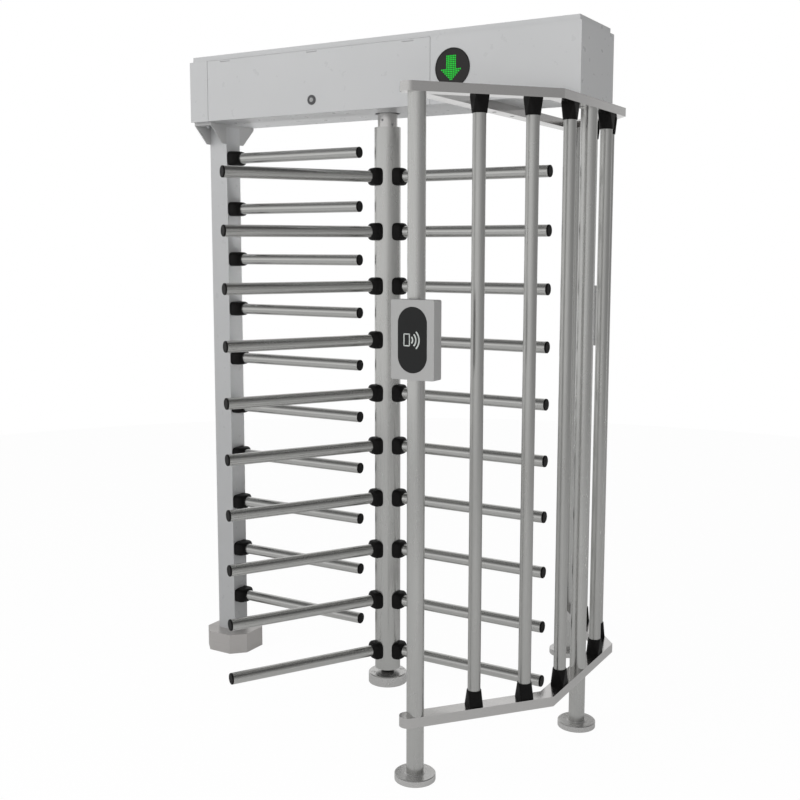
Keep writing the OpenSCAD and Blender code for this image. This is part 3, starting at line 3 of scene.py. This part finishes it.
import bmesh
import bpy
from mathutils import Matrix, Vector


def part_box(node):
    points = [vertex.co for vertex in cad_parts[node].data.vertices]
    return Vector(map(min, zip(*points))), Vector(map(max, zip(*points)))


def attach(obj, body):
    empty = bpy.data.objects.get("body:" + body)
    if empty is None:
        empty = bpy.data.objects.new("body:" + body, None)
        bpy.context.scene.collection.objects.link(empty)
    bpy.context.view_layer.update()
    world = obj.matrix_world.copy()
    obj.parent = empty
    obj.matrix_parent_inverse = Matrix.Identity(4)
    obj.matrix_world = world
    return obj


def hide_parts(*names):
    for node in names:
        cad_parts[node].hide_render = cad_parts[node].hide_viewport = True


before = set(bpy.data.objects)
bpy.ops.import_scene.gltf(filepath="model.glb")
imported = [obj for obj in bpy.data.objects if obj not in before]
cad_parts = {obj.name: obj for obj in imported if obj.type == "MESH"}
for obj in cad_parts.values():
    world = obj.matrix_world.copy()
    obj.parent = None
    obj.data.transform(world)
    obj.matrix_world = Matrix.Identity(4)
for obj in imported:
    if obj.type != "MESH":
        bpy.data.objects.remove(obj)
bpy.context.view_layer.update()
scene = bpy.context.scene

# Lengths are in metres, in the part's own frame.
MM = 0.001


# Materials

def empty_nodes(owner):
    """Node tree of a material or world, with no nodes in it."""
    owner.use_nodes = True
    nt = owner.node_tree
    for n in list(nt.nodes):
        nt.nodes.remove(n)
    return nt


def new_material(name):
    """Material of a single Principled shader."""
    m = bpy.data.materials.new(name)
    nt = empty_nodes(m)
    out = nt.nodes.new("ShaderNodeOutputMaterial")
    shader = nt.nodes.new("ShaderNodeBsdfPrincipled")
    nt.links.new(shader.outputs["BSDF"], out.inputs["Surface"])
    return m, nt, shader


def mapped(nt, turn=(0, 0, 0), scale=(1, 1, 1)):
    """Object coordinates, turned and then scaled."""
    coord = nt.nodes.new("ShaderNodeTexCoord")
    turned = nt.nodes.new("ShaderNodeMapping")
    turned.inputs["Rotation"].default_value = turn
    scaled = nt.nodes.new("ShaderNodeMapping")
    scaled.inputs["Scale"].default_value = scale
    nt.links.new(coord.outputs["Object"], turned.inputs["Vector"])
    nt.links.new(turned.outputs["Vector"], scaled.inputs["Vector"])
    return scaled.outputs["Vector"]


def noise(nt, vector, scale, detail=3.0, rough=0.55):
    n = nt.nodes.new("ShaderNodeTexNoise")
    n.inputs["Scale"].default_value = scale
    n.inputs["Detail"].default_value = detail
    n.inputs["Roughness"].default_value = rough
    nt.links.new(vector, n.inputs["Vector"])
    return n.outputs["Fac"]


def ramp(nt, fac, low, high, at=(0.3, 0.7)):
    """Colour between low and high that follows a noise."""
    r = nt.nodes.new("ShaderNodeValToRGB")
    r.color_ramp.elements[0].position = at[0]
    r.color_ramp.elements[0].color = (*low, 1)
    r.color_ramp.elements[1].position = at[1]
    r.color_ramp.elements[1].color = (*high, 1)
    nt.links.new(fac, r.inputs["Fac"])
    return r.outputs["Color"]


def spread(nt, fac, low, high):
    """Number between low and high that follows a noise."""
    m = nt.nodes.new("ShaderNodeMapRange")
    m.inputs["From Min"].default_value = 0.25
    m.inputs["From Max"].default_value = 0.75
    m.inputs["To Min"].default_value = low
    m.inputs["To Max"].default_value = high
    nt.links.new(fac, m.inputs["Value"])
    return m.outputs["Result"]


def bump(nt, shader, height, distance, strength):
    b = nt.nodes.new("ShaderNodeBump")
    b.inputs["Distance"].default_value = distance
    b.inputs["Strength"].default_value = strength
    nt.links.new(height, b.inputs["Height"])
    nt.links.new(b.outputs["Normal"], shader.inputs["Normal"])


def shade(c, k):
    """Colour made darker or lighter."""
    return tuple(min(1.0, v * k) for v in c)


def painted(name, colour, rough=0.42, vary=0.015):
    """Powder coat: faint cloudiness and a fine orange-peel surface."""
    m, nt, s = new_material(name)
    v = mapped(nt)
    cloud = noise(nt, v, scale=3.5, detail=4.0)
    tone = ramp(nt, cloud, shade(colour, 1 - vary), shade(colour, 1 + vary))
    nt.links.new(tone, s.inputs["Base Color"])
    uneven = spread(nt, noise(nt, v, scale=30.0), rough - 0.04, rough + 0.04)
    nt.links.new(uneven, s.inputs["Roughness"])
    s.inputs["Specular IOR Level"].default_value = 0.45
    bump(nt, s, noise(nt, v, scale=260.0, detail=1.0), distance=0.00003, strength=0.15)
    return m


GRAIN_STRETCH, CLOUD_STRETCH = (6.0, 900.0, 900.0), (1.0, 5.0, 5.0)


def brushed(name, colour, turn=(0, 0, 0), rough=0.26, metal=0.95, vary=0.06):
    """Steel ground lengthwise, along the direction that turn brings to the X axis."""
    m, nt, s = new_material(name)
    grain = noise(nt, mapped(nt, turn, GRAIN_STRETCH), scale=1.0, rough=0.6)
    cloud = noise(nt, mapped(nt, turn, CLOUD_STRETCH), scale=4.0)
    softened = nt.nodes.new("ShaderNodeMath")
    softened.operation = "MULTIPLY_ADD"
    softened.inputs[1].default_value = 0.6
    softened.inputs[2].default_value = 0.2
    nt.links.new(grain, softened.inputs[0])
    tone = ramp(nt, softened.outputs["Value"], shade(colour, 1 - vary), shade(colour, 1 + vary),
                at=(0.35, 0.65))
    nt.links.new(tone, s.inputs["Base Color"])
    nt.links.new(spread(nt, cloud, rough - 0.05, rough + 0.06), s.inputs["Roughness"])
    s.inputs["Metallic"].default_value = metal
    s.inputs["Anisotropic"].default_value = 0.35
    bump(nt, s, grain, distance=0.00003, strength=0.35)
    return m


def machined(name, colour, rough=0.3):
    """Turned or milled steel, with faint tool marks."""
    m, nt, s = new_material(name)
    v = mapped(nt)
    tone = ramp(nt, noise(nt, v, scale=60.0), shade(colour, 0.9), shade(colour, 1.06))
    nt.links.new(tone, s.inputs["Base Color"])
    uneven = spread(nt, noise(nt, v, scale=140.0), rough - 0.08, rough + 0.1)
    nt.links.new(uneven, s.inputs["Roughness"])
    s.inputs["Metallic"].default_value = 1.0
    bump(nt, s, noise(nt, v, scale=700.0), distance=0.00002, strength=0.4)
    return m


def moulded(name, colour, rough=0.5, grain=700.0, depth=0.00005, level=0.25):
    """Moulded plastic with a fine spark-eroded grain and a slightly uneven tone."""
    m, nt, s = new_material(name)
    v = mapped(nt)
    tone = ramp(nt, noise(nt, v, scale=25.0), shade(colour, 0.8), shade(colour, 1.35))
    nt.links.new(tone, s.inputs["Base Color"])
    uneven = spread(nt, noise(nt, v, scale=120.0), rough - 0.07, rough + 0.08)
    nt.links.new(uneven, s.inputs["Roughness"])
    s.inputs["Specular IOR Level"].default_value = level
    bump(nt, s, noise(nt, v, scale=grain, detail=2.0), distance=depth, strength=0.6)
    return m


def glossy(name, colour, rough, level):
    """Smoked window: dark body under a hard clear surface."""
    m, nt, s = new_material(name)
    v = mapped(nt)
    tone = ramp(nt, noise(nt, v, scale=12.0), shade(colour, 0.92), shade(colour, 1.08))
    nt.links.new(tone, s.inputs["Base Color"])
    uneven = spread(nt, noise(nt, v, scale=60.0), rough, rough + 0.05)
    nt.links.new(uneven, s.inputs["Roughness"])
    s.inputs["Specular IOR Level"].default_value = level
    s.inputs["Coat Weight"].default_value = level / 2
    s.inputs["Coat Roughness"].default_value = 0.05
    return m


def lit(name, colour, strength):
    """A lamp's face: a faintly uneven glow of its colour over a dark body."""
    m, nt, s = new_material(name)
    v = mapped(nt)
    cloud = noise(nt, v, scale=220.0)
    glow = ramp(nt, cloud, shade(colour, 0.8), colour)
    body = ramp(nt, cloud, shade(colour, 0.3), shade(colour, 0.4))
    nt.links.new(body, s.inputs["Base Color"])
    nt.links.new(glow, s.inputs["Emission Color"])
    s.inputs["Emission Strength"].default_value = strength
    s.inputs["Roughness"].default_value = 0.3
    return m


HALF_PI = math.pi / 2
ALONG_Z = (0, HALF_PI, 0)
STEEL = (0.60, 0.60, 0.585)

materials = {
    "housing": painted("housing_paint", (0.60, 0.605, 0.61), 0.3),
    "post": painted("post_paint", (0.575, 0.58, 0.585), 0.3),
    "bracket": painted("bracket_paint", (0.50, 0.50, 0.50)),
    "foot": brushed("foot_steel", (0.62, 0.60, 0.585), rough=0.4, metal=0.6),
    "flange": brushed("flange_steel", (0.70, 0.695, 0.685), rough=0.26, metal=0.8),
    "tube_z": brushed("tube_upright", STEEL, ALONG_Z),
    "tube_x": brushed("tube_comb", STEEL, rough=0.2),
    "tube_cage": brushed("tube_cage", (0.545, 0.545, 0.53), ALONG_Z, rough=0.3),
    "neck": brushed("neck_steel", (0.66, 0.65, 0.64), ALONG_Z, rough=0.2, vary=0.03),
    "frame": brushed("frame_steel", (0.65, 0.64, 0.63), rough=0.16, metal=1.0),
    "black": moulded("black_plastic", (0.0045, 0.0042, 0.0041), 0.5, level=0.16),
    "collar": moulded("collar_plastic", (0.03, 0.029, 0.028)),
    "rim": moulded("rim_plastic", (0.022, 0.021, 0.021), 0.4, 500.0, 0.00002),
    "window": glossy("smoked_window", (0.008, 0.0086, 0.0086), 0.1, 0.25),
    "lens": glossy("indicator_face", (0.022, 0.020, 0.020), 0.35, 0.25),
    "lamp": lit("green_lamp", (0.0, 0.56, 0.028), 1.0),
    "reader": painted("reader_paint", (0.45, 0.45, 0.445), 0.45),
    "icon": moulded("icon_print", (0.55, 0.58, 0.56), 0.5),
    "steel": machined("machined_steel", (0.55, 0.56, 0.57)),
    "zinc": machined("zinc_plate", (0.5, 0.51, 0.52), 0.4),
    "pawl": machined("yellow_steel", (0.5, 0.42, 0.2), 0.38),
    "casting": painted("casting_paint", (0.10, 0.11, 0.12), 0.5, 0.1),
    "bronze": machined("bronze", (0.5, 0.32, 0.13), 0.35),
    "lock": machined("lock_metal", (0.16, 0.16, 0.165), 0.4),
    "plug": machined("lock_plug", (0.7, 0.7, 0.7), 0.5),
    "coil": painted("coil_dark", (0.03, 0.032, 0.038), 0.45, 0.1),
    "board": moulded("board_green", (0.02, 0.09, 0.04), 0.4),
    "supply": machined("supply_case", (0.55, 0.56, 0.57), 0.42),
}
WING_ANGLES = (0, 120, 240)
for wing, angle in zip("abc", WING_ANGLES):
    turn = (0, 0, -math.radians(angle))
    materials["tube_" + wing] = brushed("tube_wing_" + wing, STEEL, turn, rough=0.2)

looks = {
    "housing": ["housing_body", "housing_lid", "left_end_cover", "right_front_panel",
                "access_door", "door_hinge_leaf"],
    "post": ["left_post"],
    "bracket": ["left_head_bracket"],
    "foot": ["left_foot_cover"],
    "flange": ["leg_floor_covers", "rotor_base"],
    "tube_z": ["rotor_column", "cage_legs", "front_post", "middle_post", "rear_post"],
    "tube_cage": ["cage_tubes"],
    "neck": ["rotor_shaft"],
    "tube_x": ["comb_bars"],
    "tube_a": ["wing_a_arms"],
    "tube_b": ["wing_b_arms"],
    "tube_c": ["wing_c_arms"],
    "frame": ["cage_lower_frame", "cage_upper_frame", "cage_cross_bar"],
    "black": ["comb_sockets", "comb_caps", "arm_sockets", "arm_caps", "upper_adapters",
              "lower_adapters"],
    "collar": ["foot_collar"],
    "rim": ["indicator_rim"],
    "window": ["reader_windows"],
    "lens": ["indicator_lens"],
    "lamp": ["indicator_lamps"],
    "reader": ["front_reader_box", "rear_reader_box"],
    "steel": ["index_disc", "drive_gear", "damper_pinion", "bearing_inner_ring",
              "bearing_outer_ring", "bearing_balls", "entry_plunger", "exit_plunger",
              "door_hinge_pin"],
    "zinc": ["rotor_fasteners", "frame_bolts", "mechanism_plate"],
    "pawl": ["entry_pawl", "exit_pawl"],
    "casting": ["bearing_housing"],
    "bronze": ["foot_bush"],
    "lock": ["lock_body"],
    "plug": ["lock_cam"],
    "coil": ["solenoids", "damper_body"],
    "board": ["control_board"],
    "supply": ["power_supply"],
}
for look, nodes in looks.items():
    for node in nodes:
        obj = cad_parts[node]
        obj.data.materials.clear()
        obj.data.materials.append(materials[look])


# Pieces that the solids don't have

def piece(name, bm, look, body="frame"):
    """Makes a mesh into a piece with its look, which rides on a body."""
    mesh = bpy.data.meshes.new(name)
    bmesh.ops.recalc_face_normals(bm, faces=bm.faces)
    bm.to_mesh(mesh)
    bm.free()
    obj = bpy.data.objects.new(name, mesh)
    scene.collection.objects.link(obj)
    mesh.materials.append(materials[look])
    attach(obj, body)
    return obj


def dome(bm, centre, out, radius, height, rings=3, sides=12):
    """Shallow dome whose base circle lies at centre, rising along out."""
    z = Vector(out).normalized()
    turn = z.to_track_quat("Z", "Y").to_matrix()
    base = Vector(centre)
    rows = []
    for k in range(rings):
        a = HALF_PI * k / rings
        r, h = radius * math.cos(a), height * math.sin(a)
        rows.append([bm.verts.new(base + turn @ Vector((r * math.cos(t), r * math.sin(t), h)))
                     for t in (2 * math.pi * i / sides for i in range(sides))])
    top = bm.verts.new(base + turn @ Vector((0, 0, height)))
    bm.faces.new(list(reversed(rows[0])))
    for a, b in zip(rows, rows[1:]):
        for i in range(sides):
            j = (i + 1) % sides
            bm.faces.new((a[i], a[j], b[j], b[i]))
    for i in range(sides):
        bm.faces.new((rows[-1][i], rows[-1][(i + 1) % sides], top))


def ribbon(bm, points, width, place, thick):
    """Flat band along 2-D points, width across, thick towards the viewer."""
    n = len(points)
    sides = []
    for i, (x, z) in enumerate(points):
        x0, z0 = points[max(i - 1, 0)]
        x1, z1 = points[min(i + 1, n - 1)]
        d = Vector((x1 - x0, z1 - z0)).normalized()
        nx, nz = -d.y * width / 2, d.x * width / 2
        sides.append([bm.verts.new(place(x + s * nx, z + s * nz, t)) for s, t in
                      ((1, 0), (1, thick), (-1, thick), (-1, 0))])
    for a, b in zip(sides, sides[1:]):
        for k in range(4):
            bm.faces.new((a[k], a[(k + 1) % 4], b[(k + 1) % 4], b[k]))
    bm.faces.new(sides[0])
    bm.faces.new(list(reversed(sides[-1])))


SOCKET_SIDES, SOCKET_STEPS = 48, 6
SOCKET_POWER, SOCKET_ROOT_DRAFT = 5, 0.04
SOCKET_MOUTH_R, SOCKET_BORE_R = 23 * MM, 19.1 * MM
SOCKET_LIP, SOCKET_EDGE = 1.5 * MM, 1.4 * MM


def socket_shell(bm, root, along_bar, across, half_y, half_z, end, belly, saddle_r=None):
    """Moulded socket: a rounded box at its root that draws in to a round mouth.

    root is a point on the bar's axis, and lengths along the bar count from it. The full
    section reaches to belly, and the mouth lies at end. With saddle_r the root follows a
    column of that radius whose axis passes through root.
    """
    x_axis, y_axis, z_axis = Vector(along_bar), Vector(across), Vector((0, 0, 1))
    origin = Vector(root)
    rows = []

    def outline(t):
        """Radius of the full section, a square with rounded corners, at an angle."""
        c, s = abs(math.cos(t)) / half_y, abs(math.sin(t)) / half_z
        return (c ** SOCKET_POWER + s ** SOCKET_POWER) ** (-1 / SOCKET_POWER)

    def foot(y):
        """Place of the root's surface along the bar."""
        return math.sqrt(saddle_r ** 2 - y ** 2) if saddle_r else 0.0

    def ring(radius, at, from_foot=False):
        """Adds a ring whose radius follows the angle, at a place along the bar."""
        row = []
        for i in range(SOCKET_SIDES):
            t = 2 * math.pi * (i + 0.5) / SOCKET_SIDES
            y, z = radius(t) * math.cos(t), radius(t) * math.sin(t)
            x = foot(y) + at if from_foot else at
            row.append(bm.verts.new(origin + x * x_axis + y * y_axis + z * z_axis))
        rows.append(row)

    ring(lambda t: outline(t) * (1.0 - SOCKET_ROOT_DRAFT), 0.0, from_foot=True)
    ring(outline, SOCKET_EDGE, from_foot=True)
    ring(outline, belly)
    for k in range(1, SOCKET_STEPS + 1):
        a = HALF_PI * k / SOCKET_STEPS
        ring(lambda t: SOCKET_MOUTH_R + (outline(t) - SOCKET_MOUTH_R) * math.cos(a),
             belly + (end - SOCKET_LIP - belly) * math.sin(a))
    ring(lambda t: SOCKET_MOUTH_R - SOCKET_LIP, end)
    ring(lambda t: SOCKET_BORE_R, end)
    ring(lambda t: SOCKET_BORE_R, 0.0, from_foot=True)
    for a, b in zip(rows, rows[1:] + rows[:1]):
        for i in range(SOCKET_SIDES):
            j = (i + 1) % SOCKET_SIDES
            bm.faces.new((a[i], a[j], b[j], b[i]))


def rounded(obj, angle=38):
    """Smooth shading that keeps edges sharper than the angle."""
    for polygon in obj.data.polygons:
        polygon.use_smooth = True
    obj.data.set_sharp_from_angle(angle=math.radians(angle))


# Sockets of the arms, seated on the column, and of the comb bars, on the post's face
COLUMN_R, POST_FACE = 44.55 * MM, -662 * MM
TOP_ARM, ARM_PITCH, COMB_RISE, ROWS = 1768 * MM, 183 * MM, 87 * MM, 10
ARM_HALF, ARM_BELLY, ARM_MOUTH = 29.5 * MM, 50 * MM, 67 * MM
COMB_HALF_Y, COMB_HALF_Z, COMB_BELLY, COMB_MOUTH = 37 * MM, 25.8 * MM, 20 * MM, 41 * MM
ARM_HEIGHTS = [TOP_ARM - ARM_PITCH * i for i in range(ROWS)]
COMB_HEIGHTS = [z + COMB_RISE for z in ARM_HEIGHTS]
bm = bmesh.new()
for angle in WING_ANGLES:
    c, s = math.cos(math.radians(angle)), math.sin(math.radians(angle))
    for z in ARM_HEIGHTS:
        socket_shell(bm, (0, 0, z), (c, s, 0), (-s, c, 0), ARM_HALF, ARM_HALF, ARM_MOUTH, ARM_BELLY,
                     COLUMN_R)
sockets = piece("arm_socket_shells", bm, "black", "rotor")
rounded(sockets)
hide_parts("arm_sockets")
bm = bmesh.new()
for z in COMB_HEIGHTS:
    socket_shell(bm, (POST_FACE, 0, z), (1, 0, 0), (0, 1, 0), COMB_HALF_Y, COMB_HALF_Z, COMB_MOUTH,
                 COMB_BELLY)
sockets = piece("comb_socket_shells", bm, "black")
rounded(sockets)
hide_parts("comb_sockets")

# Indicator: the dots of the arrow stand a little out of the dark face
lens_low, lens_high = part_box("indicator_lens")
lens_x = (lens_low.x + lens_high.x) / 2
lens_z = (lens_low.z + lens_high.z) / 2
HEAD_ROWS, STEM_ROWS, STEM_COLS = 6, 7, 6
PITCH, DOT_R, DOT_H = 5.8 * MM, 2.35 * MM, 0.6 * MM
ARROW_SHIFT = -4 * MM
bm = bmesh.new()
rows = HEAD_ROWS + STEM_ROWS
for j in range(rows):
    cols = 2 * (j + 1) if j < HEAD_ROWS else STEM_COLS
    for i in range(cols):
        x = lens_x + ARROW_SHIFT + (i - (cols - 1) / 2) * PITCH
        z = lens_z + (j - (rows - 1) / 2) * PITCH
        dome(bm, (x, lens_low.y, z), (0, -1, 0), DOT_R, DOT_H)
piece("indicator_dots", bm, "lamp")

# Readers: a generic contactless sign on each window, a card with three waves
READER_SIDES = (("front", -1), ("rear", 1))
WAVE_RADII = (12 * MM, 22 * MM, 32 * MM)
WAVE_CENTRE, WAVE_SPAN, WAVE_STEPS = -11 * MM, math.radians(46), 16
CARD_NEAR, CARD_FAR, CARD_HALF = -9 * MM, -26 * MM, 16 * MM
WAVE_W, CARD_W, PRINT_T, PRINT_LIFT = 4.2 * MM, 3.0 * MM, 0.3 * MM, 0.4 * MM


def reader_sign(side, sign):
    """Sign on one reader's window. The rear reader mirrors the front one."""
    low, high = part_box("front_reader_box")
    x0, z0 = (low.x + high.x) / 2, (low.z + high.z) / 2
    y0 = sign * (-low.y - PRINT_LIFT)

    def place(x, z, t):
        return Vector((x0 - sign * x, y0 + sign * t, z0 + z))

    bm = bmesh.new()
    turns = [-WAVE_SPAN + 2 * WAVE_SPAN * i / WAVE_STEPS for i in range(WAVE_STEPS + 1)]
    for r in WAVE_RADII:
        arc = [(WAVE_CENTRE + r * math.cos(a), r * math.sin(a)) for a in turns]
        ribbon(bm, arc, WAVE_W, place, PRINT_T)
    card = [(CARD_FAR, -CARD_HALF), (CARD_NEAR, -CARD_HALF), (CARD_NEAR, CARD_HALF),
            (CARD_FAR, CARD_HALF), (CARD_FAR, -CARD_HALF)]
    for a, b in zip(card, card[1:]):
        ribbon(bm, [a, b], CARD_W, place, PRINT_T)
    piece(side + "_reader_sign", bm, "icon")


for side, sign in READER_SIDES:
    reader_sign(side, sign)

# Floor base: flush caps close the bolts' counterbores
BASE_TOP, BASE_CIRCLE_R, BASE_CAP_R, BASE_CAP_H = 36 * MM, 52 * MM, 7.4 * MM, 1.2 * MM
BASE_CAP_ANGLES = (45, 135, 225, 315)
bm = bmesh.new()
for angle in BASE_CAP_ANGLES:
    a = math.radians(angle)
    centre = (BASE_CIRCLE_R * math.cos(a), BASE_CIRCLE_R * math.sin(a), BASE_TOP - BASE_CAP_H)
    dome(bm, centre, (0, 0, 1), BASE_CAP_R, BASE_CAP_H, rings=4, sides=32)
piece("base_bolt_caps", bm, "flange")

# Readers: four pan-head screws hold each box's back cover
INSET_X, INSET_Z, SCREW_R, SCREW_H = 14 * MM, 21 * MM, 4.5 * MM, 1.8 * MM
for side, sign in READER_SIDES:
    low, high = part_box(side + "_reader_box")
    back = low.y if sign > 0 else high.y
    bm = bmesh.new()
    for x in (low.x + INSET_X, high.x - INSET_X):
        for z in (low.z + INSET_Z, high.z - INSET_Z):
            dome(bm, (x, back, z), (0, -sign, 0), SCREW_R, SCREW_H, rings=4, sides=24)
    piece(side + "_reader_screws", bm, "zinc")

# Floor and room

def calculated(nt, operation, a, b):
    """Result of a sum on a socket and either a second socket or a number."""
    m = nt.nodes.new("ShaderNodeMath")
    m.operation = operation
    nt.links.new(a, m.inputs[0])
    if isinstance(b, float):
        m.inputs[1].default_value = b
    else:
        nt.links.new(b, m.inputs[1])
    return m.outputs["Value"]


def mixed(nt, share, plain, other, out):
    """Surface of the plain shader that turns into the other one by the share."""
    mix = nt.nodes.new("ShaderNodeMixShader")
    nt.links.new(share, mix.inputs["Fac"])
    nt.links.new(plain.outputs[0], mix.inputs[1])
    nt.links.new(other.outputs[0], mix.inputs[2])
    nt.links.new(mix.outputs[0], out.inputs["Surface"])


def leaning(nt, ray, direction, span, tones):
    """Tone that changes with how far a ray leans towards a direction, over the span."""
    dot = nt.nodes.new("ShaderNodeVectorMath")
    dot.operation = "DOT_PRODUCT"
    dot.inputs[1].default_value = direction
    nt.links.new(ray, dot.inputs[0])
    tone = nt.nodes.new("ShaderNodeMapRange")
    tone.interpolation_type = "SMOOTHSTEP"
    for key, value in zip(("From Min", "From Max", "To Min", "To Max"), (*span, *tones)):
        tone.inputs[key].default_value = value
    nt.links.new(dot.outputs["Value"], tone.inputs["Value"])
    return tone.outputs["Result"]


# The floor takes shadows in its matt part. The glow makes it white to the camera, and
# fainter in what mirrors it.
FLOOR_R, FLOOR_SIDES = 6.0, 96
FLOOR_TONE, FLOOR_GLOW = 0.75, 1.04
FLOOR_SEEN, FLOOR_GLOSSY = 0.93, 0.25

floor_mesh = bpy.data.meshes.new("floor")
bm = bmesh.new()
bmesh.ops.create_circle(bm, cap_ends=True, segments=FLOOR_SIDES, radius=FLOOR_R)
bm.to_mesh(floor_mesh)
bm.free()
floor = bpy.data.objects.new("floor", floor_mesh)
scene.collection.objects.link(floor)

floor_mat = bpy.data.materials.new("floor_white")
nt = empty_nodes(floor_mat)
matt = nt.nodes.new("ShaderNodeBsdfDiffuse")
matt.inputs["Color"].default_value = (FLOOR_TONE, FLOOR_TONE, FLOOR_TONE, 1)
glow = nt.nodes.new("ShaderNodeEmission")
glow.inputs["Strength"].default_value = FLOOR_GLOW
rays = nt.nodes.new("ShaderNodeLightPath").outputs
seen = calculated(nt, "MAXIMUM", rays["Is Camera Ray"], rays["Is Transmission Ray"])
share = calculated(nt, "MAXIMUM", calculated(nt, "MULTIPLY", seen, FLOOR_SEEN),
                   calculated(nt, "MULTIPLY", rays["Is Glossy Ray"], FLOOR_GLOSSY))
mixed(nt, share, matt, glow, nt.nodes.new("ShaderNodeOutputMaterial"))
floor_mesh.materials.append(floor_mat)

# The room is bright round the horizon, dim overhead and dimmer on the right. Behind the
# object stands the white backdrop, and the camera itself sees white all round.
UP, TO_LEFT, TO_BACKDROP = (0, 0, 1), (-0.86, -0.50, 0), (-0.515, 0.857, 0)
UP_SPAN, LEFT_SPAN, BACKDROP_SPAN = (0.05, 0.75), (-1.0, 0.5), (0.45, 0.75)
ROOM_TOP, ROOM_RIGHT = 0.18, 0.42

world = bpy.data.worlds.new("studio")
scene.world = world
nt = empty_nodes(world)
white = nt.nodes.new("ShaderNodeBackground")
white.inputs["Color"].default_value = (1, 1, 1, 1)
room = nt.nodes.new("ShaderNodeBackground")
ray = nt.nodes.new("ShaderNodeTexCoord").outputs["Generated"]
overhead = leaning(nt, ray, UP, UP_SPAN, (1.0, ROOM_TOP))
sideways = leaning(nt, ray, TO_LEFT, LEFT_SPAN, (ROOM_RIGHT, 1.0))
backdrop = leaning(nt, ray, TO_BACKDROP, BACKDROP_SPAN, (0.0, 1.0))
tone = calculated(nt, "MAXIMUM", calculated(nt, "MULTIPLY", overhead, sideways), backdrop)
nt.links.new(tone, room.inputs["Strength"])
rays = nt.nodes.new("ShaderNodeLightPath").outputs
seen = calculated(nt, "MAXIMUM", rays["Is Camera Ray"], rays["Is Transmission Ray"])
mixed(nt, seen, room, white, nt.nodes.new("ShaderNodeOutputWorld"))

# Lamps: each one's place, what it faces, watts, diameter and spread in degrees
LAMPS = {
    "key": ((-1.5, -3.2, 3.2), (-0.1, 0, 1.9), 51, 3.6, 180),
    "fill_right": ((3.7, -1.3, 2.3), (0.2, 0, 1.2), 13, 3.0, 180),
    "fill_front": ((2.3, -2.9, 1.5), (-0.3, 0, 1.2), 22, 2.2, 180),
    "bounce": ((-1.1, 0.7, 0.15), (-0.45, 0, 1.95), 2, 1.0, 70),
    "fill_inside": ((1.3, 0.5, 0.5), (-0.7, 0, 1.45), 2.2, 0.8, 45),
}


def aimed(obj, at, heading):
    """Puts a lamp or camera into the scene at its place, turned along its heading."""
    scene.collection.objects.link(obj)
    obj.location = at
    obj.rotation_mode = "QUATERNION"
    obj.rotation_quaternion = Vector(heading).to_track_quat("-Z", "Y")


for name, (at, towards, watts, size, spread_angle) in LAMPS.items():
    data = bpy.data.lights.new(name, "AREA")
    data.shape = "DISK"
    data.size = size
    data.energy = watts
    data.spread = math.radians(spread_angle)
    lamp = bpy.data.objects.new(name, data)
    lamp.visible_glossy = False
    aimed(lamp, at, Vector(towards) - Vector(at))

# Camera, solved from points of the photograph
CAMERA_AT = (1.93360, -3.20404, 1.53679)
CAMERA_HEADING = (-0.51168, 0.85086, -0.11925)
camera_data = bpy.data.cameras.new("camera")
camera_data.sensor_width = 36.0
camera_data.lens = 49.18
camera_data.shift_x = 0.01332
camera_data.shift_y = -0.02831
camera = bpy.data.objects.new("camera", camera_data)
aimed(camera, CAMERA_AT, CAMERA_HEADING)
scene.camera = camera
scene.view_settings.view_transform = "Standard"
